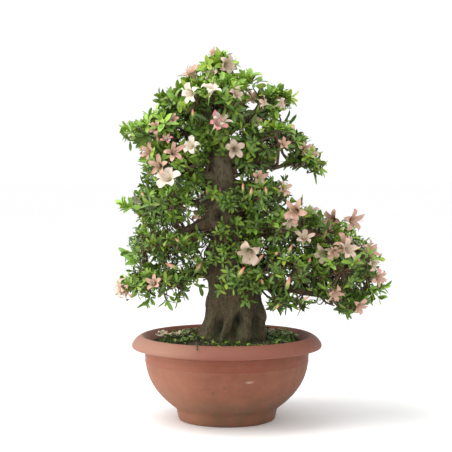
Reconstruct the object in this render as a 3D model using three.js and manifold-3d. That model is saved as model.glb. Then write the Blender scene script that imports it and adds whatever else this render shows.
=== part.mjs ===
// A flowering azalea bonsai in a round clay bowl. Millimetres, +Z up.
// The origin is the centre of the bowl's underside, and the tree's front faces -Y.
// Wood, flowers and buds have their true shape. Each pad of leaves is one closed solid
// of the pad's outer shape, cut back from every branch and flower that stands in it.
import * as THREE from "three";
import { mergeVertices } from "three/addons/utils/BufferGeometryUtils.js";
import Module from "manifold-3d";

// ---------------------------------------------------------------- driving dimensions
// Bowl
const POT_HEIGHT = 160; // ground to the crest of the rim
const RIM_DIAMETER = 360; // widest, round the rim's band
const MOUTH_DIAMETER = 322; // across the rim's crest
const RIM_BAND = 23; // height of the rolled band
const BODY_DIAMETER = 311; // just under the band
const WALL = 9;
const FOOT_DIAMETER = 184; // on the ground
const FOOT_HEIGHT = 23;
const FOOT_FLARE = 4; // how much wider the foot's top is, on each side
const FLOOR = 12; // thickness over the foot
const GROOVE_DEPTH = 4; // turned groove that the drainage holes open into
const GROOVE_INNER = 32; // radius of the flat centre inside the groove
const FOOT_RING = 14; // width of the foot's flat ring
const DRAIN_DIAMETER = 18;
const DRAINS = 3;
const MESH_DIAMETER = 140; // plastic sheet over the drainage holes
const MESH_THICKNESS = 1.4;
const MESH_HOLE = 4;

// Soil and what grows or lies on it
const HEADSPACE = 17; // from the rim's crest down to the soil at the wall
const SOIL_RISE = 11; // how far the soil climbs towards the trunk
const MOSS_THICKNESS = 7;
const CLOVER_DIAMETER = 17;
const TWIG_DIAMETER = 3.6;

// Tree
const TREE_HEIGHT = 703; // ground to the topmost leaf
const CROWN_SCALE = 1; // spread of branches and pads about the trunk
const TRUNK_DIAMETER = 124; // at the soil, over the roots
const BRANCH_GIRTH = 1; // multiplies every branch's own radius
const FLOWER_DIAMETER = 42;
const BUD_LENGTH = 27;
const GAP = 0.35; // left between two pieces that touch

// Resolution of the faceted solids
const POT_SIDES = 40;
const TRUNK_SIDES = 20;
const TRUNK_STEPS = 22;
const BRANCH_SIDES = 7;
const BRANCH_STEPS = 9;
const PAD_DETAIL = 2;

// ---------------------------------------------------------------- materials
const finish = (color, roughness) =>
  new THREE.MeshStandardMaterial({ color, roughness, metalness: 0 });
const CLAY = finish(0xa9705a, 0.7);
const SOIL = finish(0x3c3226, 0.95);
const MOSS = finish(0x55702a, 0.95);
const PLASTIC_MESH = finish(0x1d1f20, 0.6);
const BARK = finish(0x5a4a3a, 0.9);
const LEAF = finish(0x3f7a24, 0.5);
const WHITE_PETAL = finish(0xe9e2d6, 0.6);
const PINK_PETAL = finish(0xe4b0a8, 0.6);
const BUD = finish(0xdc8a76, 0.55);
const WITHERED = finish(0xb58d6a, 0.8);

// ---------------------------------------------------------------- solids
const wasm = await Module();
wasm.setup();

function solidOf(geometry) {
  const bare = geometry.clone();
  bare.deleteAttribute("normal");
  bare.deleteAttribute("uv");
  const merged = mergeVertices(bare, 1e-3);
  const corners = [...merged.index.array];
  const kept = [];
  for (let i = 0; i < corners.length; i += 3) {
    const [a, b, c] = corners.slice(i, i + 3);
    if (a !== b && b !== c && a !== c) kept.push(a, b, c);
  }
  return new wasm.Manifold(
    new wasm.Mesh({
      numProp: 3,
      vertProperties: merged.attributes.position.array,
      triVerts: new Uint32Array(kept),
    }),
  );
}

function geometryOf(solid) {
  const { numProp, vertProperties, triVerts } = solid.getMesh();
  const data = new THREE.InterleavedBuffer(vertProperties, numProp);
  return new THREE.BufferGeometry()
    .setAttribute("position", new THREE.InterleavedBufferAttribute(data, 3, 0))
    .setIndex([...triVerts])
    .toNonIndexed();
}

// A cut can leave crumbs beside the piece, so only its largest body is the piece.
function largest(solid) {
  const bodies = solid.decompose();
  return bodies.reduce((best, body) => (body.volume() > best.volume() ? body : best));
}

const joined = (solids) => solids.reduce((all, one) => all.add(one));
const cut = (solid, tools) => tools.reduce((left, tool) => left.subtract(tool), solid);

// ---------------------------------------------------------------- frame of the tree
// Wood and foliage are laid out at the nominal height and spread, and scaled from there.
const NOMINAL_HEIGHT = 700;
const NOMINAL_TRUNK = 124;
const NOMINAL_SOIL = 149;
const soilCrown = POT_HEIGHT - HEADSPACE + SOIL_RISE; // top of the soil, at the trunk
const rise = (TREE_HEIGHT - soilCrown) / (NOMINAL_HEIGHT - NOMINAL_SOIL);
const girth = TRUNK_DIAMETER / NOMINAL_TRUNK;

function placed([x, y, z]) {
  const height = soilCrown + (z - NOMINAL_SOIL) * rise;
  return new THREE.Vector3(x * CROWN_SCALE, y * CROWN_SCALE, height);
}

// ---------------------------------------------------------------- bowl
const mouthRadius = MOUTH_DIAMETER / 2;
const bodyRadius = BODY_DIAMETER / 2;
const rimRadius = RIM_DIAMETER / 2;
const footRadius = FOOT_DIAMETER / 2;
const footTopRadius = footRadius + FOOT_FLARE;
const bandBottom = POT_HEIGHT - RIM_BAND;
const floorTop = GROOVE_DEPTH + FLOOR;

// Radius of the body's outside between the foot and the band: a bowl, steep at the top.
function bodyOutside(z) {
  const t = (z - FOOT_HEIGHT) / (bandBottom - FOOT_HEIGHT);
  const low = footTopRadius + 2;
  return low + (bodyRadius - low) * (1 - Math.pow(1 - Math.min(1, t), 2.75));
}
const bodyInside = (z) => bodyOutside(z) - WALL;
const along = (t) => FOOT_HEIGHT + (bandBottom - FOOT_HEIGHT) * t;
const INSIDE_HEIGHTS = [0.2, 0.36, 0.55, 0.78, 1].map(along); // corners of the inside wall

function potProfile() {
  const p = (x, y) => new THREE.Vector2(x, y);
  const grooveOuter = footRadius - FOOT_RING;
  const bodyHeights = [0.06, 0.16, 0.3, 0.48, 0.68, 0.86, 1].map(along);
  const outside = bodyHeights.map((z) => p(bodyOutside(z), z));
  const inside = [...INSIDE_HEIGHTS].reverse().map((z) => p(bodyInside(z), z));
  return [
    p(0, 0),
    p(GROOVE_INNER, 0),
    p(GROOVE_INNER + GROOVE_DEPTH, GROOVE_DEPTH),
    p(grooveOuter - GROOVE_DEPTH, GROOVE_DEPTH),
    p(grooveOuter, 0),
    p(footRadius - 2, 0),
    p(footRadius, 2),
    p(footTopRadius, FOOT_HEIGHT - 3),
    ...outside,
    // underside, nose and crest of the rolled band
    p(rimRadius - 4, bandBottom - 0.4),
    p(rimRadius - 0.8, bandBottom + RIM_BAND * 0.05),
    p(rimRadius, bandBottom + RIM_BAND * 0.16),
    p(rimRadius - 1.4, bandBottom + RIM_BAND * 0.34),
    p(rimRadius - 5, bandBottom + RIM_BAND * 0.6),
    p(rimRadius - 11.5, bandBottom + RIM_BAND * 0.86),
    p(mouthRadius, POT_HEIGHT),
    p(mouthRadius - 3.5, POT_HEIGHT - 1.8),
    p(bodyInside(bandBottom) + 0.5, POT_HEIGHT - 9),
    ...inside,
    p(footTopRadius - WALL + 2, floorTop),
    p(0, floorTop),
  ];
}

const meshTop = floorTop + GAP + MESH_THICKNESS; // of the sheet over the drainage holes

// Centres of the drainage holes, in the middle of the groove.
const drainRing = (GROOVE_INNER + footRadius - FOOT_RING) / 2;
const drains = Array.from({ length: DRAINS }, (_, i) => {
  const turn = ((i + 0.25) / DRAINS) * 2 * Math.PI;
  return [drainRing * Math.cos(turn), drainRing * Math.sin(turn)];
});

function pot() {
  const bowl = solidOf(new THREE.LatheGeometry(potProfile(), POT_SIDES));
  const holes = drains.map(([x, y]) => {
    const drill = new THREE.CylinderGeometry(DRAIN_DIAMETER / 2, DRAIN_DIAMETER / 2, 80, 14);
    drill.rotateX(Math.PI / 2).translate(x, y, 0);
    return solidOf(drill);
  });
  return cut(upright(bowl), holes);
}

// LatheGeometry turns about +Y: this stands it up along +Z.
const upright = (solid) => solid.rotate([90, 0, 0]);

// A round plastic sheet with four small openings over each drainage hole.
function drainageMesh() {
  const disc = new THREE.CylinderGeometry(MESH_DIAMETER / 2, MESH_DIAMETER / 2, MESH_THICKNESS, 28);
  disc.rotateX(Math.PI / 2).translate(0, 0, meshTop - MESH_THICKNESS / 2);
  const step = MESH_HOLE * 0.8;
  const openings = drains.flatMap(([x, y]) =>
    [[-step, -step], [step, -step], [step, step], [-step, step]].map(([i, j]) => {
      const opening = new THREE.BoxGeometry(MESH_HOLE, MESH_HOLE, 4 * MESH_THICKNESS);
      return solidOf(opening.translate(x + i, y + j, meshTop));
    }),
  );
  return cut(solidOf(disc), openings);
}


// ---------------------------------------------------------------- soil
// Height of the soil's surface: a low mound, a little uneven.
function soilTop(x, y) {
  const out = Math.min(1, Math.hypot(x, y) / bodyInside(bandBottom));
  const uneven = 1.2 * Math.sin(x / 19 + 1) * Math.cos(y / 16) * (1 - out);
  return POT_HEIGHT - HEADSPACE + SOIL_RISE * (1 - out * out) + uneven;
}

function soil(trunkTool) {
  const edge = POT_HEIGHT - HEADSPACE;
  const mouth = bodyInside(bandBottom) - GAP;
  const profile = [
    new THREE.Vector2(0, meshTop + GAP),
    new THREE.Vector2(footTopRadius - WALL - 1, meshTop + GAP),
    ...INSIDE_HEIGHTS.map((z) => new THREE.Vector2(bodyInside(z) - GAP, z)),
    ...[1, 0.82, 0.62, 0.42].map((t) => new THREE.Vector2(mouth * t, edge)),
    new THREE.Vector2(0, edge),
  ];
  const body = new THREE.LatheGeometry(profile, POT_SIDES).rotateX(Math.PI / 2);
  const at = body.getAttribute("position");
  for (let i = 0; i < at.count; i++)
    if (at.getZ(i) > edge - 0.1) at.setZ(i, soilTop(at.getX(i), at.getY(i)));
  return largest(cut(solidOf(body), [trunkTool]));
}

// What lies on the soil is laid out for a bowl of the nominal radius, and spreads with it.
const NOMINAL_SOIL_RADIUS = 146.5;
const soilRadius = bodyInside(bandBottom);
const onSoil = (distance) => (distance * soilRadius) / NOMINAL_SOIL_RADIUS;

// A patch on the soil, thick in the middle: moss, seen from above as a lobed round
// that stops short of the bowl's wall.
function mossPatch({ at, size, seed }, tools) {
  const [x, y] = at.map(onSoil);
  const [rx, ry] = size.map(onSoil);
  const patch = new THREE.CylinderGeometry(1, 1, 1, 14, 1).rotateX(Math.PI / 2);
  const p = patch.getAttribute("position");
  const limit = soilRadius - 4;
  for (let i = 0; i < p.count; i++) {
    const out = Math.hypot(p.getX(i), p.getY(i));
    const turn = Math.atan2(p.getY(i), p.getX(i));
    const lobe = 1 + 0.13 * Math.sin(3 * turn + seed) + 0.09 * Math.sin(5 * turn + 2 * seed);
    const far = Math.hypot(x + p.getX(i) * rx * lobe, y + p.getY(i) * ry * lobe);
    const held = Math.min(1, limit / far);
    const px = (x + p.getX(i) * rx * lobe) * held;
    const py = (y + p.getY(i) * ry * lobe) * held;
    const thick = p.getZ(i) > 0 ? MOSS_THICKNESS * (1 - 0.75 * out) : 0;
    p.setXYZ(i, px, py, soilTop(px, py) + 2.5 + thick);
  }
  return largest(cut(solidOf(patch), tools));
}

// ---------------------------------------------------------------- wood
// Trunk stations: centre x, y, height z and radius. The lowest two are in the soil.
const TRUNK = [
  [12, 2, 112, 30],
  [11, 2, 134, 56],
  [10, 1, 152, 64],
  [13, 0, 176, 60],
  [15, 0, 200, 57],
  [14, 0, 228, 51],
  [17, 0, 258, 46],
  [11, 1, 290, 42],
  [8, 2, 318, 41],
  [8, 2, 354, 34],
  [-2, 2, 392, 28],
  [-9, 2, 430, 24],
  [-12, 2, 466, 22],
  [-12, 3, 504, 19],
  [-12, 3, 548, 15],
  [-9, 2, 592, 10.5],
  [-8, 1, 632, 6.5],
  [-10, 0, 664, 2.6],
];

function trunk(extra) {
  const stations = TRUNK.map(([x, y, z, r]) => {
    const at = placed([x, y, z]);
    const under = z < NOMINAL_SOIL;
    if (under) at.z = soilCrown + (z - NOMINAL_SOIL);
    return { at, r: r * girth };
  });
  const line = new THREE.CatmullRomCurve3(stations.map((s) => s.at), false, "centripetal");
  const radii = new THREE.SplineCurve(stations.map((s, i) => new THREE.Vector2(i, s.r)));
  const log = new THREE.CylinderGeometry(1, 1, 1, TRUNK_SIDES, TRUNK_STEPS);
  const p = log.getAttribute("position");
  for (let i = 0; i < p.count; i++) {
    const t = Math.min(1, Math.max(0, p.getY(i) + 0.5));
    const turn = Math.atan2(-p.getZ(i), p.getX(i));
    const out = Math.hypot(p.getX(i), p.getZ(i));
    const centre = line.getPoint(t);
    const root = Math.exp(-t * 9);
    const flute =
      1 + (0.04 + 0.13 * root) * Math.cos(5 * turn + 1 + 6 * t) + 0.04 * Math.cos(3 * turn - 5 * t);
    const r = out * (radii.getPoint(t).y * flute + extra);
    const cap = p.getY(i) > 0 ? extra : -extra;
    const z = centre.z + (t === 0 || t === 1 ? cap : 0);
    p.setXYZ(i, centre.x + r * Math.cos(turn), centre.y + r * Math.sin(turn), z);
  }
  return solidOf(log);
}

// Branches: points from inside the trunk to the tip, with the radius at each end.
const BRANCHES = [
  { name: "branch_left_low", from: 11, to: 2.6,
    line: [[0, 0, 262], [-48, -4, 272], [-100, -8, 264], [-148, -12, 250], [-182, -14, 246]] },
  { name: "branch_left_lower_middle", from: 13, to: 2.8,
    line: [[0, -2, 372], [-52, -10, 364], [-96, -16, 344], [-132, -18, 328], [-162, -16, 318]] },
  { name: "branch_left_middle", from: 10, to: 2.4,
    line: [[-4, 4, 402], [-52, 12, 404], [-96, 14, 408], [-132, 10, 398], [-160, 6, 392]] },
  { name: "branch_left_upper_middle", from: 9, to: 2.4,
    line: [[-8, 0, 452], [-50, -12, 462], [-92, -18, 472], [-128, -20, 476]] },
  { name: "branch_left_shoulder", from: 8.5, to: 2.2,
    line: [[-10, 2, 512], [-54, 4, 530], [-98, 2, 541], [-150, 0, 546]] },
  { name: "branch_left_crown", from: 6.5, to: 2,
    line: [[-9, 2, 566], [-38, 0, 586], [-66, -4, 598], [-94, -4, 606]] },
  { name: "branch_right_low_front", from: 14, to: 2.6,
    line: [[24, -6, 268], [74, -22, 252], [128, -28, 244], [184, -22, 231], [236, -14, 225],
      [272, -6, 232]] },
  { name: "branch_right_low_rear", from: 13, to: 2.6,
    line: [[18, 8, 288], [80, 24, 284], [138, 32, 294], [196, 26, 306], [252, 14, 318]] },
  { name: "branch_right_lower_middle", from: 10, to: 2.4,
    line: [[8, -4, 346], [54, -18, 350], [100, -20, 346], [142, -8, 350], [172, 4, 352]] },
  { name: "branch_right_middle", from: 9.5, to: 2.2,
    line: [[-6, 0, 434], [34, 2, 440], [68, -4, 428], [104, -6, 416]] },
  { name: "branch_right_shoulder", from: 8.5, to: 2.2,
    line: [[-11, 2, 492], [38, 4, 486], [88, 6, 473], [128, 4, 484], [166, 2, 488]] },
  { name: "branch_right_crown", from: 7, to: 2,
    line: [[-10, 2, 552], [30, 2, 562], [68, 2, 578], [98, 2, 590]] },
  { name: "branch_back_low", from: 11, to: 2.6,
    line: [[4, 6, 312], [4, 58, 318], [-4, 104, 328], [-8, 140, 334]] },
  { name: "branch_back_high", from: 8, to: 2.2,
    line: [[-10, 4, 460], [-2, 48, 470], [6, 90, 482], [8, 118, 490]] },
];

function branch({ line, from, to }, extra) {
  const route = new THREE.CatmullRomCurve3(line.map(placed), false, "centripetal");
  const frames = route.computeFrenetFrames(BRANCH_STEPS, false);
  const limb = new THREE.CylinderGeometry(1, 1, 1, BRANCH_SIDES, BRANCH_STEPS);
  const p = limb.getAttribute("position");
  for (let i = 0; i < p.count; i++) {
    const t = Math.min(1, Math.max(0, p.getY(i) + 0.5));
    const k = Math.round(t * BRANCH_STEPS);
    const taper = Math.pow(1 - t, 1.3);
    const r = (to + (from - to) * taper) * BRANCH_GIRTH + extra;
    const at = route.getPointAt(t);
    if (t === 1) at.addScaledVector(frames.tangents[k], extra);
    at.addScaledVector(frames.normals[k], p.getX(i) * r);
    at.addScaledVector(frames.binormals[k], -p.getZ(i) * r);
    p.setXYZ(i, at.x, at.y, at.z);
  }
  return solidOf(limb);
}

// ---------------------------------------------------------------- foliage
// Pads of leaves: centre, half sizes and a seed for the lumps. Each one keeps its
// shape whole against those that follow it in this list.
const PADS = [
  { name: "foliage_apex", at: [-11, 0, 658], half: [36, 38, 42], seed: 1 },
  { name: "foliage_left_crown", at: [-76, -2, 602], half: [56, 66, 42], seed: 2 },
  { name: "foliage_right_crown", at: [68, 0, 598], half: [62, 66, 44], seed: 3 },
  { name: "foliage_front_crown", at: [-16, -62, 588], half: [62, 46, 56], seed: 4 },
  { name: "foliage_back_crown", at: [-2, 70, 590], half: [72, 56, 56], seed: 5 },
  { name: "foliage_left_shoulder", at: [-130, -4, 540], half: [66, 80, 40], seed: 6 },
  { name: "foliage_right_shoulder", at: [98, 0, 528], half: [66, 84, 42], seed: 7 },
  { name: "foliage_left_upper_middle", at: [-106, -22, 476], half: [62, 84, 44], seed: 8 },
  { name: "foliage_right_tip", at: [146, 0, 478], half: [44, 48, 28], seed: 9 },
  { name: "foliage_back_middle", at: [4, 96, 478], half: [88, 62, 60], seed: 10 },
  { name: "foliage_left_middle", at: [-116, 2, 404], half: [68, 88, 36], seed: 11 },
  { name: "foliage_right_middle", at: [76, -16, 424], half: [58, 82, 46], seed: 12 },
  { name: "foliage_left_lower_middle", at: [-116, -8, 328], half: [74, 88, 46], seed: 13 },
  { name: "foliage_right_lower_middle", at: [122, -12, 356], half: [78, 92, 42], seed: 14 },
  { name: "foliage_left_low", at: [-122, -8, 256], half: [86, 80, 36], seed: 15 },
  { name: "foliage_right_low_near", at: [100, -20, 282], half: [66, 92, 46], seed: 16 },
  { name: "foliage_right_low_far", at: [222, -4, 288], half: [80, 96, 76], seed: 17 },
  { name: "foliage_right_droop_near", at: [116, -36, 222], half: [44, 50, 22], seed: 19 },
  { name: "foliage_right_droop_far", at: [230, -12, 212], half: [44, 50, 18], seed: 20 },
  { name: "foliage_back_low", at: [-2, 118, 348], half: [96, 68, 58], seed: 18 },
];

function pad({ at, half, seed }, extra) {
  const lump = new THREE.IcosahedronGeometry(1, PAD_DETAIL);
  const centre = placed(at);
  const reach = [half[0] * CROWN_SCALE, half[1] * CROWN_SCALE, half[2] * rise];
  const p = lump.getAttribute("position");
  const n = new THREE.Vector3();
  for (let i = 0; i < p.count; i++) {
    n.fromBufferAttribute(p, i);
    const swell =
      1 + 0.07 * Math.sin(5 * n.x + 2 * n.y + seed) + 0.06 * Math.sin(6 * n.y - 3 * n.z + 2 * seed);
    const flat = n.z < 0 ? 0.86 : 1;
    const [sx, sy, sz] = reach.map((size) => size * swell + extra);
    p.setXYZ(i, centre.x + n.x * sx, centre.y + n.y * sy, centre.z + n.z * flat * sz);
  }
  return solidOf(lump);
}

// ---------------------------------------------------------------- flowers and buds
const TUBE = 1.15; // depth of the funnel, as a share of its mouth's radius

// A funnel of joined petals, its mouth at the origin facing +Z and its tube behind it.
// Petals are lobes of the funnel's edge: each is widest at its middle.
function corolla(diameter, petals, depth = TUBE) {
  const r = diameter / 2;
  const profile = [
    [0, -depth], [0.13, -0.9 * depth], [0.33, -0.22], [1, 0.1], [0.3, -0.06], [0, -0.36],
  ].map(([x, y]) => new THREE.Vector2(x * r, y * r));
  const cup = new THREE.LatheGeometry(profile, petals * 4).rotateX(Math.PI / 2);
  const p = cup.getAttribute("position");
  for (let i = 0; i < p.count; i++) {
    const turn = Math.atan2(p.getY(i), p.getX(i));
    const between = 1 - Math.abs(Math.cos((petals * turn) / 2));
    const isEdge = Math.hypot(p.getX(i), p.getY(i)) > 0.6 * r;
    const share = isEdge ? 1 - 0.52 * between : 1;
    p.setXYZ(i, p.getX(i) * share, p.getY(i) * share, p.getZ(i));
  }
  return solidOf(cup);
}

// The room a flower takes up: a plain round funnel, filled level with its edge.
function corollaRoom(diameter) {
  const r = diameter / 2;
  const space = 3 * GAP;
  const wide = 1.05 * (r + space);
  const profile = [
    new THREE.Vector2(0, -TUBE * r - space),
    new THREE.Vector2(0.13 * r + 2 * space, -TUBE * r - space),
    new THREE.Vector2(0.35 * r + 2 * space, -0.22 * r - 2 * space),
    new THREE.Vector2(wide, 0.1 * r - space),
    new THREE.Vector2(wide, 0.1 * r + space),
    new THREE.Vector2(0, 0.1 * r + space),
  ];
  return solidOf(new THREE.LatheGeometry(profile, 12).rotateX(Math.PI / 2));
}

// A pointed spindle from the origin along +Z.
function spindle(length, extra = 0) {
  const r = length * 0.17;
  const profile = [
    new THREE.Vector2(0, -extra),
    new THREE.Vector2(0.45 * r + extra, length * 0.08),
    new THREE.Vector2(r + extra, length * 0.55),
    new THREE.Vector2(0.7 * r + extra, length * 0.82),
    new THREE.Vector2(0, length + extra),
  ];
  return solidOf(new THREE.LatheGeometry(profile, 8).rotateX(Math.PI / 2));
}

// Turns a solid's +Z to face a direction and moves its origin to a place.
function posed(solid, at, facing) {
  const z = new THREE.Vector3(0, 0, 1);
  const turn = new THREE.Quaternion().setFromUnitVectors(z, new THREE.Vector3(...facing).normalize());
  const matrix = new THREE.Matrix4().compose(at, turn, new THREE.Vector3(1, 1, 1));
  return solid.transform(matrix.elements);
}

// Mouth centre, the way the mouth faces, colour and size as a share of FLOWER_DIAMETER.
const FLOWERS = [
  { name: "flower_apex", at: [-4, -46, 664], facing: [0.4, -1, 0.1], size: 0.9, pink: false },
  { name: "flower_crown_trumpet", at: [-64, -44, 650], facing: [-0.2, -0.35, 1], size: 0.95, pink: true },
  { name: "flower_crown_left", at: [-62, -98, 604], facing: [-0.5, -1, 0.5], size: 1.05, pink: false },
  { name: "flower_crown_front", at: [-20, -108, 550], facing: [0.3, -1, 0.4], size: 1.05, pink: true },
  { name: "flower_front_white", at: [12, -62, 507], facing: [0.05, -1, 0.1], size: 1.02, pink: false },
  { name: "flower_left_cream", at: [-62, -88, 507], facing: [-0.3, -1, 0.2], size: 0.95, pink: false },
  { name: "flower_left_pink", at: [-98, -112, 500], facing: [0.25, -1, 0.2], size: 1.1, pink: true },
  { name: "flower_left_white", at: [-106, -110, 448], facing: [-0.1, -1, 0.35], size: 1.2, pink: false },
  { name: "flower_right_pink", at: [124, -100, 394], facing: [0.5, -1, 0.3], size: 1.25, pink: true },
  { name: "flower_middle_white", at: [42, -78, 318], facing: [-0.15, -1, 0.05], size: 1.2, pink: false },
  { name: "flower_far_right", at: [228, -58, 374], facing: [0.5, -0.8, 0.4], size: 1.1, pink: true },
  { name: "flower_right_low", at: [214, -110, 322], facing: [0.2, -1, 0.4], size: 1.05, pink: true },
  { name: "flower_left_tip", at: [-202, -20, 246], facing: [-1, -0.4, 0], size: 1, pink: true },
];

// Base of the bud and the way its tip points.
const BUDS = [
  { name: "bud_left", at: [-88, -78, 286], facing: [-1, -0.3, 0.45] },
  { name: "bud_middle", at: [19, -72, 268], facing: [0.5, -0.3, 0.8] },
  { name: "bud_right_low", at: [107, -106, 250], facing: [0.25, -0.3, 1] },
];

// ---------------------------------------------------------------- things on the soil
const MOSS_PATCHES = [
  { name: "moss_left", at: [-102, -14], size: [40, 60], seed: 1 },
  { name: "moss_front", at: [8, -104], size: [58, 32], seed: 2 },
  { name: "moss_right", at: [112, -12], size: [34, 62], seed: 3 },
];

// A leaf of clover: three lobes on a short stalk that stands just above the moss.
function clover(x, y) {
  const height = soilTop(x, y) + 2 * MOSS_THICKNESS;
  const depth = (MOSS_THICKNESS * 0.8) / (CLOVER_DIAMETER / 2);
  return posed(corolla(CLOVER_DIAMETER, 3, depth), new THREE.Vector3(x, y, height), [0.1, -0.3, 1]);
}

// A withered flower that has dropped, lying mouth down on the moss.
function fallenFlower(x, y) {
  const diameter = FLOWER_DIAMETER * 0.7;
  const height = soilTop(x, y) + 1.6 * MOSS_THICKNESS;
  return posed(corolla(diameter, 5, 0.7), new THREE.Vector3(x, y, height), [0.1, 0.1, -1]);
}

// A dead twig that leans from the soil over the front of the rim.
function twig() {
  const r = TWIG_DIAMETER / 2;
  const crest = POT_HEIGHT + r + GAP;
  const [x, y] = [onSoil(-60), onSoil(-118)];
  const start = soilTop(x, y) + MOSS_THICKNESS + r + GAP + 3;
  const line = [
    [x, y, start],
    [-56, -mouthRadius + 16, crest + 2],
    [-54, -mouthRadius + 3, crest + 2.2],
    [-51, -rimRadius + 8, POT_HEIGHT + r],
    [-50, -rimRadius - 0.5, POT_HEIGHT - 5],
  ].map((q) => new THREE.Vector3(...q));
  const section = new THREE.Shape();
  section.absarc(0, 0, r, 0, 2 * Math.PI);
  return solidOf(
    new THREE.ExtrudeGeometry(section, {
      steps: 8,
      curveSegments: 6,
      bevelEnabled: false,
      extrudePath: new THREE.CatmullRomCurve3(line),
    }),
  );
}

// ---------------------------------------------------------------- assembly
const group = new THREE.Group();
function add(name, solid, material) {
  const mesh = new THREE.Mesh(geometryOf(solid), material);
  mesh.name = name;
  group.add(mesh);
}

const bowl = pot();
add("pot", bowl, CLAY);
add("drainage_mesh", drainageMesh(), PLASTIC_MESH);

const trunkTool = trunk(GAP);
add("trunk", trunk(0), BARK);
add("soil", soil(trunkTool), SOIL);

const woodTools = [trunkTool];
for (const spec of BRANCHES) {
  add(spec.name, largest(cut(branch(spec, 0), woodTools)), BARK);
  woodTools.push(branch(spec, GAP));
}

const flowerTools = [];
for (const { name, at, facing, size, pink } of FLOWERS) {
  const diameter = FLOWER_DIAMETER * size;
  const mouth = placed(at);
  const made = posed(corolla(diameter, 5), mouth, facing);
  add(name, largest(cut(made, woodTools)), pink ? PINK_PETAL : WHITE_PETAL);
  flowerTools.push(posed(corollaRoom(diameter), mouth, facing));
}
for (const { name, at, facing } of BUDS) {
  const made = posed(spindle(BUD_LENGTH), placed(at), facing);
  add(name, largest(cut(made, [...woodTools, ...flowerTools])), BUD);
  flowerTools.push(posed(spindle(BUD_LENGTH, 2 * GAP), placed(at), facing));
}

const padTools = [];
const standing = joined([...woodTools, ...flowerTools]);
for (const spec of PADS) {
  add(spec.name, largest(cut(pad(spec, 0), [standing, ...padTools])), LEAF);
  padTools.push(pad(spec, 2 * GAP));
}

const patches = MOSS_PATCHES.map((spec) => ({ ...spec, solid: mossPatch(spec, [trunkTool]) }));
for (const { name, solid } of patches) add(name, solid, MOSS);
add("clover", clover(onSoil(-72), onSoil(-82)), LEAF);
add("fallen_flower", fallenFlower(onSoil(-122), onSoil(20)), WITHERED);
add("dead_twig", twig(), WITHERED);

export default group;
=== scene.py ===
"""Looks of a flowering azalea bonsai in a round clay bowl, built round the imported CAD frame.

Lengths in the tables are millimetres, as in the CAD. MM turns them into Blender's metres.
The tree's front faces -Y. Leaves, twigs and extra flowers fill the CAD's foliage pads.
"""

import math

import bmesh
import bpy
import numpy as np
from mathutils import Matrix, Vector, noise
from mathutils.bvhtree import BVHTree


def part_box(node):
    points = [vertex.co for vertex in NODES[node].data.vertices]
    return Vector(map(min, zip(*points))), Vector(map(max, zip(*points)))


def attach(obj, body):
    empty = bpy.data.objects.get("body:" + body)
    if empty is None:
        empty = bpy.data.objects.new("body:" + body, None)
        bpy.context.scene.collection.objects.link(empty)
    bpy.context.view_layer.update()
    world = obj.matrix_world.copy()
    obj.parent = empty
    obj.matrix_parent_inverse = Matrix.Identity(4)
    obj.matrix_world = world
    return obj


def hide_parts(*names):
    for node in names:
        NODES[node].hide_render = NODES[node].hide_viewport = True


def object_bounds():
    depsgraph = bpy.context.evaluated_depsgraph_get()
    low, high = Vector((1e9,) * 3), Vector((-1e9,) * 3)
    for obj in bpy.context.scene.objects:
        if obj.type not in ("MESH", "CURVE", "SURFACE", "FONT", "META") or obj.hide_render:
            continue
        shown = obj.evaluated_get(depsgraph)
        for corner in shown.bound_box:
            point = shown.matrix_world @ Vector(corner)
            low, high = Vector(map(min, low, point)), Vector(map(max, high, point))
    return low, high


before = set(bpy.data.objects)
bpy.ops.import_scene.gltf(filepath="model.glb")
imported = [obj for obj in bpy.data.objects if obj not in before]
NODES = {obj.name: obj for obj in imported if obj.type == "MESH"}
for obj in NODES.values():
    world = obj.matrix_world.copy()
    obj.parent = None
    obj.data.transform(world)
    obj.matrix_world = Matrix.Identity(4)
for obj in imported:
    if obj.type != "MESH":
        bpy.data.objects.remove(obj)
CAD_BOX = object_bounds()
MM = 0.001
RNG = np.random.default_rng(20)


# ------------------------------------------------------------------ small vector helpers
def unit(v):
    v = np.asarray(v, float)
    return v / np.maximum(np.linalg.norm(v, axis=-1, keepdims=True), 1e-9)


def span(node):
    """A CAD node's lowest and highest corners, in millimetres."""
    low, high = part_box(node)
    return np.array(low) / MM, np.array(high) / MM


def middle_of(node):
    """The middle of a CAD node's box, in millimetres."""
    low, high = span(node)
    return (low + high) / 2


def across(direction):
    """Two unit vectors square to each direction and to each other."""
    d = unit(direction)
    helper = np.where(np.abs(d[..., 2:3]) < 0.9, [[0.0, 0.0, 1.0]], [[1.0, 0.0, 0.0]])
    side = unit(np.cross(helper, d))
    return side, np.cross(d, side)


def smoothstep(low, high, x):
    t = np.clip((np.asarray(x, float) - low) / (high - low), 0, 1)
    return t * t * (3 - 2 * t)


def wander(points, scale, octaves=3, seed=0.0):
    """Fractal noise from -1 to 1 at points in millimetres, with features of about scale."""
    shift = Vector((seed * 17.3, seed * 5.1, seed * 9.7))
    return np.array([noise.fractal(Vector(p) / scale + shift, 1.0, 2.0, octaves) for p in points])


def route(points, steps):
    """A smooth curve through points: a Catmull-Rom spline sampled evenly in its parameter."""
    p = np.asarray(points, float)
    p = np.vstack([2 * p[0] - p[1], p, 2 * p[-1] - p[-2]])
    out = []
    for t in np.linspace(0, len(p) - 3 - 1e-9, steps):
        i, u = int(t), t % 1
        a, b, c, d = p[i : i + 4]
        out.append(
            0.5
            * (2 * b + (c - a) * u + (2 * a - 5 * b + 4 * c - d) * u**2 + (3 * b - a - 3 * c + d) * u**3)
        )
    return np.array(out)


# ------------------------------------------------------------------ mesh helpers
def set_masks(mesh, masks):
    """Stores a value from 0 to 1 for each point under each name, for the materials to read."""
    for name, values in masks.items():
        layer = mesh.attributes.new(name, "FLOAT", "POINT")
        layer.data.foreach_set("value", np.asarray(values, np.float32))


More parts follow.
